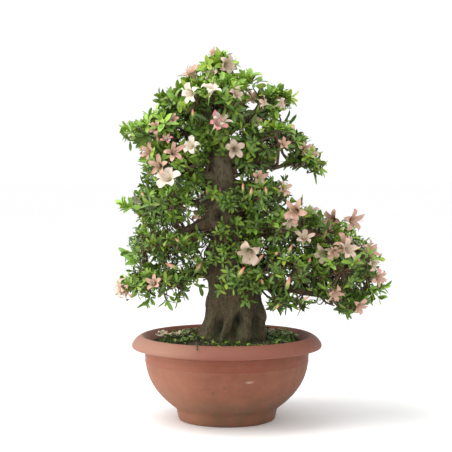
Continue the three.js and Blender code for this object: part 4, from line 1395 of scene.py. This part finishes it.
def make_sprigs():
    """Each sprig: a twig from the nearest limb, or from the trunk, with three whorls at its end."""
    leaves, twigs = Batch(), Batch()
    for index, (x, y, z, *pointing, size, light) in enumerate(SPRIGS + FRONT_SPRIGS):
        tip, axis = lifted((x, y, z)), unit(pointing)
        if index >= len(SPRIGS):
            centre = np.append(trunk_centre(np.array([tip[2] - 14]))[0], tip[2] - 14)
            root = centre + unit(tip - centre) * 12
        else:
            root = LIMB_POINTS[int(np.argmin(np.linalg.norm(LIMB_POINTS - tip, axis=1)))]
        bend = tip - axis * 16 + RNG.normal(0, 2, 3)
        twigs.add(*tube(route([root, (root + bend) / 2, bend, tip], 8), np.linspace(1.9, 0.8, 8), 5))
        near = tip + axis * 2 + RNG.normal(0, 5, (3, 3))
        near[0] = tip
        axes = np.array([axis, unit(axis + RNG.normal(0, 0.5, 3)), unit(axis + RNG.normal(0, 0.5, 3))])
        near[1:] -= axis * 12
        lengths = size * np.array([1, 0.85, 0.8])
        add_whorls(leaves, near, axes, lengths, np.full(3, light), 0.85, (3, 6))
    leaves.piece("leaves_sprigs", LEAF, "leaf")
    twigs.piece("twigs_sprigs", TWIG, "bark")


make_sprigs()

# ------------------------------------------------------------------ flowers
PETAL_ROWS, PETAL_COLUMNS = 13, 7


def corolla(radius, star, seed, reflex=0.25):
    """An open flower at the origin facing +Z: five petals that join into a tube.

    star runs from 0, broad rounded petals, to 1, narrow pointed ones."""
    rng = np.random.default_rng(seed)
    s = np.linspace(0, 1, PETAL_ROWS)
    c = np.linspace(-1, 1, PETAL_COLUMNS)[None]
    knots = [0, 0.2, 0.42, 0.6, 0.8, 1]
    q = np.clip((s - 0.40) / 0.60, 0, 1)
    lobe = (0.37 - 0.15 * star) * (0.82 + 0.5 * q) * (1 - q ** (2.7 - 0.9 * star)) ** 0.72
    verts, faces, uv = [], [], []
    for k in range(5):
        nominal = math.pi / 2 + 2 * math.pi * k / 5
        size = 1 - 0.16 * rng.random()
        curl = reflex + rng.normal(0, 0.12)
        out = np.interp(s, knots, [0.05, 0.12, 0.26, 0.48, 0.76, 1.0 - 0.2 * max(curl, 0)])
        height = np.interp(s, knots, [-1.05, -0.66, -0.30, -0.05, 0.06, 0.08 - curl])
        out = np.where(s > 0.42, 0.26 + (out - 0.26) * size, out)
        funnel = 1 - smoothstep(0.36, 0.54, s)
        half = funnel * 0.66 * out + (1 - funnel) * lobe
        middle = nominal + rng.normal(0, 0.07) * smoothstep(0.3, 0.9, s) + rng.normal(0, 0.10) * q**2
        theta = middle[:, None] + c * (half / out)[:, None]
        groove = 0.07 * np.abs(c) ** 1.5 * q[:, None] - 0.02 * (k % 2) * q[:, None]
        wave = 0.045 * np.sin(7 * s[:, None] + 2.6 * c + seed + k) * np.abs(c) * q[:, None]
        roll = rng.normal(0, 0.10) * c * q[:, None]
        z = height[:, None] + groove + wave + roll + rng.normal(0, 0.08) * q[:, None]
        x, y = out[:, None] * np.cos(theta), out[:, None] * np.sin(theta)
        start = k * PETAL_ROWS * PETAL_COLUMNS
        verts.append(radius * np.stack([x, y, z], axis=-1).reshape(-1, 3))
        faces += [tuple(i + start for i in f) for f in grid_faces(PETAL_ROWS, PETAL_COLUMNS)]
        flat = 0.04 + 0.41 * s[:, None]
        place = nominal + c * (math.pi / 5) * 0.94
        cell = np.stack([0.5 + flat * np.cos(place), 0.5 + flat * np.sin(place)], axis=-1)
        uv.append(cell.reshape(-1, 2))
    return np.vstack(verts), faces, np.vstack(uv)


def facing_matrix(direction, roll):
    """Turns +Z to a direction and +Y as far up as it goes, then rolls about the direction."""
    z = unit(direction)
    up = np.array([0.0, 0.0, 1.0]) if abs(z[2]) < 0.9 else np.array([0.0, 1.0, 0.0])
    x = unit(np.cross(up, z))
    y = np.cross(z, x)
    c, s = math.cos(roll), math.sin(roll)
    return np.column_stack([c * x + s * y, -s * x + c * y, z])


def add_flower(petals, stamens, stems, at, direction, diameter, kind, star=0.4, seed=0):
    """kind: 0 white, 1 soft pink, 2 deep pink, 3 white edged with pink."""
    rng = np.random.default_rng(seed + 100)
    turn = facing_matrix(direction, rng.normal(0, 0.25))
    radius = diameter / 2
    verts, faces, uv = corolla(radius, star, seed, 0.05 + 0.3 * rng.random())
    cell = np.array([0.5 if kind in (1, 2) else 0.0, 0.5 if kind in (2, 3) else 0.0])
    petals.add(verts @ turn.T + at, faces, uv / 2 + cell)
    throat = -0.55 * radius
    for i in range(6):
        angle = 2 * math.pi * i / 6 + rng.uniform(-0.2, 0.2)
        lean = np.array([math.cos(angle), math.sin(angle), 0])
        length = radius * (0.95 if i else 1.25) * rng.uniform(0.85, 1.05)
        droop = np.array([0, -0.16, 0]) * radius
        line = route(
            [
                lean * 0.03 * radius + [0, 0, throat],
                lean * 0.10 * radius + [0, 0, throat + length * 0.5] + droop * 0.6,
                lean * 0.24 * radius + [0, 0, throat + length] + droop * 0.3,
            ],
            6,
        )
        radii = [0.30, 0.28, 0.26, 0.24, 0.24, 0.5]
        points, quads = tube(line, radii, 5)
        places = np.repeat(np.array([0, 0.2, 0.4, 0.6, 0.8, 1.0]), 5)
        stamens.add(points @ turn.T + at, quads, np.column_stack([np.full(len(places), 0.5), places]))
    back = at - unit(direction) * radius * 0.98
    stalk = route([back, back - unit(direction) * 6, back - unit(direction) * 11 - [0, 0, 4]], 5)
    points, quads = tube(stalk, [2.2, 1.5, 1.1, 1.0, 1.0], 6)
    stems.add(points, quads, np.tile([[0.3, 0.14]], (len(points), 1)))


# Buds that the CAD has as solids: the way each tip points.
CAD_BUDS = {
    "bud_left": (-1, -0.3, 0.45),
    "bud_middle": (0.5, -0.3, 0.8),
    "bud_right_low": (0.25, -0.3, 1),
}

# Flowers round the sides and back, by pad: how many each one carries.
OTHER_FLOWERS = {
    "back_crown": 3,
    "back_middle": 5,
    "back_low": 5,
    "left_shoulder": 2,
    "left_middle": 3,
    "left_low": 2,
    "right_low_far": 4,
    "right_shoulder": 3,
    "right_lower_middle": 2,
    "left_lower_middle": 2,
    "right_crown": 1,
    "left_crown": 1,
}

# Buds on the front: x and z in mm, the way the tip points, and length.
FRONT_BUDS = [
    (-13, 424, (0.2, -0.6, 0.9), 20),
    (10, 418, (0.3, -0.6, 0.9), 20),
    (-36, 424, (-0.3, -0.6, 0.8), 18),
    (43, 423, (0.2, -0.5, 0.9), 22),
    (19, 308, (0.2, -0.6, 0.8), 20),
    (16, 245, (1, -0.5, 0.05), 24),
    (67, 259, (0.15, -0.4, 0.9), 22),
    (108, 257, (0.4, -0.4, 1), 24),
    (98, 246, (0.1, -0.5, 0.9), 18),
    (55, 303, (0.2, -0.6, 0.8), 22),
    (112, 318, (0.1, -0.5, 1), 22),
    (-9, 346, (-0.3, -0.8, 0.6), 18),
    (72, 424, (0, -0.5, 1), 20),
    (30, 430, (-0.2, -0.5, 1), 20),
    (-62, 566, (-0.3, -0.6, 0.8), 20),
    (-126, 520, (-0.4, -0.6, 0.8), 20),
    (88, 318, (0.3, -0.7, 0.6), 20),
    (150, 300, (0.2, -0.7, 0.7), 20),
    (176, 342, (0.1, -0.6, 0.9), 24),
    (230, 300, (0.2, -0.6, 0.8), 22),
    (-86, 340, (-0.4, -0.7, 0.6), 18),
    (-150, 420, (-0.5, -0.6, 0.6), 18),
    (-164, 384, (-0.6, -0.6, 0.5), 18),
    (136, 232, (0.8, -0.5, 0.4), 22),
    (96, 228, (-0.3, -0.7, -0.6), 18),
    (64, 560, (0.2, -0.7, 0.6), 18),
]


def add_bud(buds, stems, at, direction, length):
    """A pointed bud with five sepals at its base, on a short stalk."""
    steps, sides = 9, 10
    t = np.linspace(0, 1, steps)
    swell = length * 0.155 * np.sin(np.pi * np.clip(t * 0.93 + 0.07, 0, 1)) ** 0.75 * (1 - 0.25 * t)
    swell[-1] = 0.4
    line = t[:, None] * np.array([0, 0, length])
    verts, faces = tube(line, swell, sides)
    twist = np.repeat(t, sides)
    places = np.column_stack([np.tile(np.arange(sides) / sides, steps), twist])
    turn = facing_matrix(direction, 0.3)
    buds.add(verts @ turn.T + at, faces, places)
    side, other = across(unit(direction)[None])
    for i in range(5):
        a = 2 * math.pi * i / 5
        out = math.cos(a) * side[0] + math.sin(a) * other[0]
        tip = at + unit(direction) * length * 0.3 + out * length * 0.15
        strip = route([at, at + out * length * 0.10 + unit(direction) * length * 0.12, tip], 3)
        points, quads = tube(strip, [0.9, 1.0, 0.3], 4)
        buds.add(points, quads, np.tile([[0.2, 0.12]], (len(points), 1)))
    stalk = route([at, at - unit(direction) * 4, at - unit(direction) * 7 + [0, 3, -2]], 4)
    points, quads = tube(stalk, [1.1, 0.8, 0.7, 0.7], 5)
    stems.add(points, quads, np.tile([[0.3, 0.1]], (len(points), 1)))


def make_cad_flowers(stems):
    """The flowers that take the place of the CAD's."""
    for index, (name, (direction, diameter, kind, star)) in enumerate(CAD_FLOWERS.items()):
        at = middle_of("flower_" + name) + unit(direction) * diameter * 0.2
        at[2] = min(at[2], CAD_BOX[1][2] / MM - 14)
        petals, stamens = Batch(), Batch()
        add_flower(petals, stamens, stems, at, direction, diameter, kind, star, index)
        slot = "petal_pink" if kind else "petal_white"
        petals.piece("petals_" + name, PETAL, slot, replaces=["flower_" + name])
        stamens.piece("stamens_" + name, STAMEN, slot)


def make_front_flowers(stems):
    petals, stamens = Batch(), Batch()
    for index, (x, z, direction, diameter, kind, star) in enumerate(FRONT_FLOWERS):
        at = on_front(x, z, FLOWER_PROUD)
        add_flower(petals, stamens, stems, at, direction, diameter, kind, star, index + 30)
    petals.piece("petals_front", PETAL, "petal_pink")
    stamens.piece("stamens_front", STAMEN, "petal_pink")


def place_inside_outline(centre, half):
    """A place on a pad's back or side within the tree's outline, and the way out there."""
    n, at = np.zeros(3), np.full(3, 1e4)
    while not within(seen((at + n * 20)[None]), OUTLINE_FRONT)[0]:
        n = unit([RNG.normal(0, 0.8), abs(RNG.normal(0.6, 0.5)), RNG.uniform(-0.1, 0.9)])
        at = centre + n * (half - 3)
    return at, n


def make_other_flowers(stems, buds):
    """Flowers round the sides and back, each with a bud near it."""
    petals, stamens = Batch(), Batch()
    seed = 90
    for name, count in OTHER_FLOWERS.items():
        low, high = span("foliage_" + name)
        centre, half = (low + high) / 2, (high - low) / 2
        for _ in range(count):
            at, n = place_inside_outline(centre, half)
            kind = int(RNG.choice([0, 1, 1, 2]))
            diameter, star = RNG.uniform(34, 44), RNG.uniform(0.2, 0.9)
            add_flower(petals, stamens, stems, at, unit(n + [0, 0, 0.2]), diameter, kind, star, seed)
            seed += 1
            bud = centre + unit(n + RNG.normal(0, 0.5, 3)) * (half - 2)
            add_bud(buds, stems, bud, unit(n + [0, 0, 0.8]), RNG.uniform(17, 24))
    petals.piece("petals_around", PETAL, "petal_pink")
    stamens.piece("stamens_around", STAMEN, "petal_pink")


def make_flowers():
    stems, buds = Batch(), Batch()
    make_cad_flowers(stems)
    make_front_flowers(stems)
    make_other_flowers(stems, buds)
    for x, z, direction, length in FRONT_BUDS:
        tilted = unit(direction) + RNG.normal(0, 0.22, 3)
        add_bud(buds, stems, on_front(x, z, 1), tilted, length * 0.92)
    for node, direction in CAD_BUDS.items():
        add_bud(buds, stems, middle_of(node) - unit(direction) * 13, direction, 27)
    buds.piece("buds", BUD, "bud", replaces=list(CAD_BUDS))
    stems.piece("flower_stalks", BUD, "leaf")


make_flowers()

# ------------------------------------------------------------------ soil, moss and weeds
SOIL_RADIUS = BODY - WALL - 0.35
SOIL_EDGE = POT_HEIGHT - 17
MOSS_NODES = ["moss_left", "moss_front", "moss_right"]
TRUNK_X = 11  # the trunk's middle at the soil, in mm


def soil_top(x, y):
    """Height of the mound in mm, highest at the middle."""
    out = np.minimum(1, np.hypot(x, y) / (BODY - WALL))
    uneven = 1.2 * np.sin(x / 19 + 1) * np.cos(y / 16) * (1 - out)
    return SOIL_EDGE + 11 * (1 - out * out) + uneven


def make_soil():
    """Mound with crumbs, its edge hidden against the wall, down to the drainage net."""
    rings = np.concatenate([np.linspace(1, 40, 12), np.linspace(42, SOIL_RADIUS, 92)])
    sides = 300
    turn = np.linspace(0, 2 * math.pi, sides, endpoint=False)
    x, y = np.outer(rings, np.cos(turn)).ravel(), np.outer(rings, np.sin(turn)).ravel()
    flat = np.column_stack([x, y, np.zeros_like(x)])
    edge = 1 - smoothstep(SOIL_RADIUS - 5, SOIL_RADIUS, np.hypot(x, y))
    crumbs = 1.5 * wander(flat, 5.5, 3, 4) + 2.4 * wander(flat, 17, 2, 5) + 0.6
    z = soil_top(x, y) + crumbs * edge
    verts = [np.column_stack([x, y, z])]
    depths = FOOT_HEIGHT + (BAND_BOTTOM - FOOT_HEIGHT) * np.array([0.9, 0.78, 0.55, 0.36, 0.2])
    walls = [(float(body_outside(d)) - WALL - 0.5, d) for d in depths] + [(FOOT - 8, FLOOR_TOP + 3)]
    for r, d in walls:
        verts.append(np.column_stack([r * np.cos(turn), r * np.sin(turn), np.full(sides, d)]))
    rows = len(rings) + len(walls)
    faces = grid_faces(rows, sides, wrap=True)
    faces.append(tuple(range(sides))[::-1])
    faces.append(tuple(range((rows - 1) * sides, rows * sides)))
    piece("soil_surface", np.vstack(verts), faces, SOIL, "soil", ["soil"])


def make_grains():
    """Loose crumbs and small stones on the soil."""
    shape = bmesh.new()
    bmesh.ops.create_icosphere(shape, subdivisions=1, radius=1)
    corners = np.array([v.co for v in shape.verts])
    faces = [[v.index for v in f.verts] for f in shape.faces]
    shape.free()
    grains = Batch()
    for _ in range(1300):
        r, a = SOIL_RADIUS * math.sqrt(RNG.uniform(0.12, 0.97)), RNG.uniform(0, 2 * math.pi)
        x, y = r * math.cos(a), r * math.sin(a)
        size = RNG.gamma(2.2, 0.5) + 0.5
        lumpy = corners * RNG.uniform(0.7, 1.25, (len(corners), 1))
        lumpy = lumpy * size * [1, RNG.uniform(0.6, 1), 0.7]
        turn = facing_matrix(RNG.normal(0, 1, 3), 0)
        grains.add(lumpy @ turn.T + [x, y, soil_top(x, y) + 0.6], faces)
    grains.piece("soil_grains", SOIL, "soil", smooth=False)


def make_moss():
    """Low cushions of moss, thickest over the CAD's patches and round the trunk."""
    moss = Batch()
    patches = [span(n) for n in MOSS_NODES] + [
        (np.array([-50, -78, 0]), np.array([78, 74, 0])),
        (np.array([-60, 66, 0]), np.array([72, 134, 0])),
    ]
    blade = np.array([[-0.5, 0, 0], [0.5, 0, 0], [0.22, 0, 1], [-0.22, 0, 1]])
    for low, high in patches:
        centre, half = (low + high) / 2, (high - low) / 2
        area = 4 * half[0] * half[1]
        count = int(area * (0.34))
        at = centre[:2] + RNG.uniform(-1, 1, (count, 2)) * half[:2]
        out = np.linalg.norm((at - centre[:2]) / half[:2], axis=1)
        inside = out < RNG.uniform(0.7, 1.05, count)
        inside &= np.hypot(at[:, 0], at[:, 1]) < SOIL_RADIUS - 3
        inside &= np.hypot(at[:, 0] - TRUNK_X, at[:, 1]) > 52
        at = at[inside]
        lumps = wander(np.column_stack([at, at[:, 0] * 0]), 14, 2, 6)
        at, lumps = at[lumps > -0.22], lumps[lumps > -0.22]
        tall = 2.2 + 5.0 * np.clip(lumps + 0.25, 0, 1) + RNG.uniform(0, 1.6, len(at))
        wide = RNG.uniform(0.7, 1.5, len(at))
        turn = RNG.uniform(0, math.pi, len(at))
        lean = RNG.normal(0, 0.34, (len(at), 2))
        x = blade[None, :, 0] * wide[:, None]
        z = blade[None, :, 2] * tall[:, None]
        px = at[:, :1] + x * np.cos(turn)[:, None] + z * lean[:, :1]
        py = at[:, 1:] + x * np.sin(turn)[:, None] + z * lean[:, 1:]
        pz = soil_top(at[:, 0], at[:, 1])[:, None] - 0.4 + z
        verts = np.stack([px, py, pz], axis=-1)
        moss.add_copies(verts, [(0, 1, 2, 3)], np.zeros((*verts.shape[:2], 2)))
    moss.piece("moss_cushions", MOSS, "moss", replaces=MOSS_NODES, smooth=False)


# Weeds: centre x, y and spread, how many, height, and whether they are clover or grass.
WEEDS = [
    (-104, 16, 30, 34, 10, True),
    (-84, -54, 28, 22, 8, True),
    (-118, -28, 20, 16, 9, False),
    (-70, 62, 30, 30, 12, True),
    (22, -98, 24, 12, 7, True),
    (4, -84, 26, 18, 9, False),
    (54, -98, 26, 7, 7, True),
    (104, -30, 26, 36, 13, False),
    (112, 14, 26, 44, 13, True),
    (92, 52, 28, 36, 13, False),
    (10, 104, 44, 36, 12, True),
    (-24, -112, 26, 7, 6, True),
    (-92, 84, 22, 24, 12, False),
    (70, 96, 26, 22, 12, True),
    (96, -66, 22, 16, 9, True),
    (-60, -92, 34, 20, 7, False),
    (76, -84, 30, 20, 8, False),
    (-64, -36, 20, 20, 9, True),
    (-62, 6, 14, 14, 10, True),
    (-30, -78, 24, 12, 8, True),
    (110, 34, 24, 36, 18, False),
    (88, -4, 22, 30, 16, True),
    (64, 60, 22, 26, 16, True),
]


def add_clover(leaves, stalks, foot, lean, height):
    """Three round leaflets on a stalk."""
    top = foot + lean * height * RNG.uniform(0.6, 1.15)
    stalks.add(*tube(route([foot, (foot + top) / 2 + RNG.normal(0, 1, 3), top], 5), 0.35, 4))
    size = RNG.uniform(2.8, 4.7)
    tilt = unit(np.append(RNG.normal(0, 0.35, 2), 1))
    turn = facing_matrix(tilt, RNG.uniform(0, 6.28))
    angles = np.arange(3) * 2 * math.pi / 3
    direction = np.column_stack([np.cos(angles), np.sin(angles), np.full(3, 0.1)]) @ turn.T
    length, width, bend, fold = (np.full(3, v) for v in (size, size * 1.05, 0.3, 0.2))
    row, column = RNG.integers(0, 3, 3).astype(float), RNG.integers(1, 4, 3).astype(float)
    base, normal = np.tile(top, (3, 1)), np.tile(tilt, (3, 1))
    add_leaves(leaves, base, direction, normal, length, width, bend, fold, row, column)


def add_grass(leaves, foot, lean, height):
    """Three narrow blades."""
    direction = np.tile(lean, (3, 1)) + RNG.normal(0, 0.4, (3, 3))
    normal = RNG.normal(0, 1, (3, 3))
    length, width = height * RNG.uniform(0.7, 1.5, 3), RNG.uniform(0.8, 1.6, 3)
    bend, fold = RNG.normal(0.5, 0.5, 3), np.full(3, 0.5)
    row, column = RNG.integers(0, 3, 3).astype(float), RNG.integers(0, 3, 3).astype(float)
    base = np.tile(foot, (3, 1))
    add_leaves(leaves, base, direction, normal, length, width, bend, fold, row, column)


def make_weeds():
    leaves, stalks = Batch(), Batch()
    for cx, cy, spread, count, height, is_clover in WEEDS:
        for _ in range(count):
            x, y = cx + RNG.normal(0, spread * 0.5), cy + RNG.normal(0, spread * 0.5)
            if math.hypot(x, y) > SOIL_RADIUS - 5 or math.hypot(x - TRUNK_X, y) < 56:
                continue
            foot = np.array([x, y, soil_top(x, y) - 0.5])
            lean = np.append(RNG.normal(0, 0.35, 2), 1)
            if is_clover:
                add_clover(leaves, stalks, foot, lean, height)
            else:
                add_grass(leaves, foot, lean, height)
    leaves.piece("weed_leaves", LEAF, "leaf", replaces=["clover"])
    stalks.piece("weed_stalks", MOSS, "leaf")


def make_withered():
    """Three fallen flowers, and curled dry petals at the left."""
    litter = Batch()
    spots = [
        (middle_of("fallen_flower"), 27, (0.3, -0.6, 0.9)),
        (np.array([-94, 34, 156]), 22, (-0.4, -0.7, 0.8)),
        (np.array([96, 84, 152]), 26, (0.2, 0.6, 0.8)),
    ]
    for index, (at, diameter, direction) in enumerate(spots):
        verts, faces, _ = corolla(diameter / 2, 0.6, index + 7, 0.6)
        crumple = np.column_stack([wander(verts, 7, 2, index + k) for k in range(3)])
        verts = verts * [1, 0.8, 0.55] + 1.1 * crumple
        litter.add(verts @ facing_matrix(direction, index * 1.3).T + at, faces)
    steps = 12
    arc = np.linspace(-1.2, 1.2, steps)
    curl = np.column_stack([9 * np.sin(arc), 2 * arc - 2, 3 - 6 * np.cos(arc)])
    curls = [(-128, 8, 160, 0.1), (-112, 18, 161, -0.3), (-97, 30, 161, 0.2), (-80, 34, 160, 0.5)]
    for x, y, z, turn in curls:
        half = np.array([0.3, 1.0, 1.1]) * np.cos(arc)[:, None] ** 0.5
        sheet = np.stack([curl + k * half for k in (-1, -0.3, 0.3, 1)], axis=1).reshape(-1, 3)
        c, s = math.cos(turn), math.sin(turn)
        turned = sheet @ np.array([[c, s, 0], [-s, c, 0], [0, 0, 1]])
        litter.add(turned + [x, y, z], grid_faces(steps, 4))
    litter.piece("withered_flowers", WITHERED, "withered_petal", replaces=["fallen_flower"])


def make_dead_twig():
    """A dead twig that leans over the front rim, with one spur."""
    crest = POT_HEIGHT + 2.2  # the twig's middle as it lies on the rim
    lean = [
        (-53, -124, 157),
        (-54, -134, crest + 1),
        (-54, -150, crest + 1.6),
        (-53, -162, crest),
        (-52, -170, POT_HEIGHT - 1.5),
        (-52, -173, POT_HEIGHT - 4),
    ]
    line = route(lean, 22)
    radii = 1.5 * (1 + 0.25 * np.sin(np.arange(22) * 1.9)) * np.linspace(0.7, 1.0, 22)
    spur = route([(-54, -136, crest + 1), (-60, -140, crest + 5), (-63, -143, crest + 7)], 8)
    twig = Batch()
    crooked = line + 0.5 * np.column_stack([wander(line, 9, seed=k) for k in range(3)])
    twig.add(*tube(crooked, radii, 8))
    twig.add(*tube(spur, np.linspace(1.0, 0.5, 8), 6))
    twig.piece("dead_twig_wood", BARK, "dead_wood", replaces=["dead_twig"])


def make_roots():
    """Thin dry roots that wander over the soil."""
    roots = Batch()
    for _ in range(46):
        a, r = RNG.uniform(0, 2 * math.pi), RNG.uniform(66, 132)
        start = np.array([r * math.cos(a), r * math.sin(a), 0])
        steps = np.vstack([[0, 0, 0], RNG.normal(0, 6, (5, 3)) * [1, 1, 0]])
        walk = np.cumsum(steps, axis=0) + start
        out = np.maximum(np.hypot(walk[:, 0], walk[:, 1]), 1)
        walk = walk * np.minimum(1, (SOIL_RADIUS - 4) / out)[:, None]
        walk[:, 2] = soil_top(walk[:, 0], walk[:, 1]) + RNG.uniform(0.4, 2.6, len(walk))
        roots.add(*tube(route(walk, 14), np.linspace(0.7, 0.35, 14), 5))
    roots.piece("dry_roots", TWIG, "dead_wood")


def make_net():
    """The drainage net, seen through the holes from below."""
    low, high = span("drainage_mesh")
    radius, pitch = high[0], 3.0
    z = (low[2] + high[2]) / 2
    net = Batch()
    for i in np.arange(-radius + pitch, radius, pitch):
        half = math.sqrt(radius**2 - i**2)
        for line in ([(i, -half, z), (i, half, z)], [(-half, i, z), (half, i, z)]):
            net.add(*tube(route(line, 3), 0.6, 4))
    net.piece("drainage_net", NET, "plastic_mesh", replaces=["drainage_mesh"])


make_soil()
make_grains()
make_moss()
make_weeds()
make_withered()
make_dead_twig()
make_roots()
make_net()


# ------------------------------------------------------------------ floor and light
def make_stage():
    """A pale floor without an edge in view, and an even white sky."""
    mesh = bpy.data.meshes.new("floor")
    points = [(-90, -90, 0), (90, -90, 0), (90, 90, 0), (-90, 90, 0)]
    mesh.from_pydata(points, [], [(0, 1, 2, 3)])
    floor = bpy.data.objects.new("floor", mesh)
    paint = Paint("floor", 0.9)
    paint.colour(paint.ramp(paint.noise(900), (0.3, 0.955), (0.7, 0.975)))
    mesh.materials.append(paint.material)
    bpy.context.scene.collection.objects.link(floor)
    world = bpy.context.scene.world or bpy.data.worlds.new("world")
    bpy.context.scene.world = world
    world.use_nodes = True
    background = world.node_tree.nodes["Background"]
    background.inputs["Color"].default_value = (1.0, 1.0, 1.0, 1)
    background.inputs["Strength"].default_value = 1.03


def area_light(name, place, target, size, power, colour):
    data = bpy.data.lights.new(name, "AREA")
    data.size, data.energy, data.color = size, power, colour
    lamp = bpy.data.objects.new(name, data)
    lamp.location = place
    lamp.rotation_euler = (Vector(target) - Vector(place)).to_track_quat("-Z", "Y").to_euler()
    bpy.context.scene.collection.objects.link(lamp)


make_stage()
area_light("sky", (-0.9, -0.3, 2.3), (0, 0, 0.35), 1.6, 34, (1.0, 0.99, 0.96))
area_light("window", (-2.4, -0.5, 0.9), (0, 0, 0.25), 1.2, 26, (1.0, 0.97, 0.93))
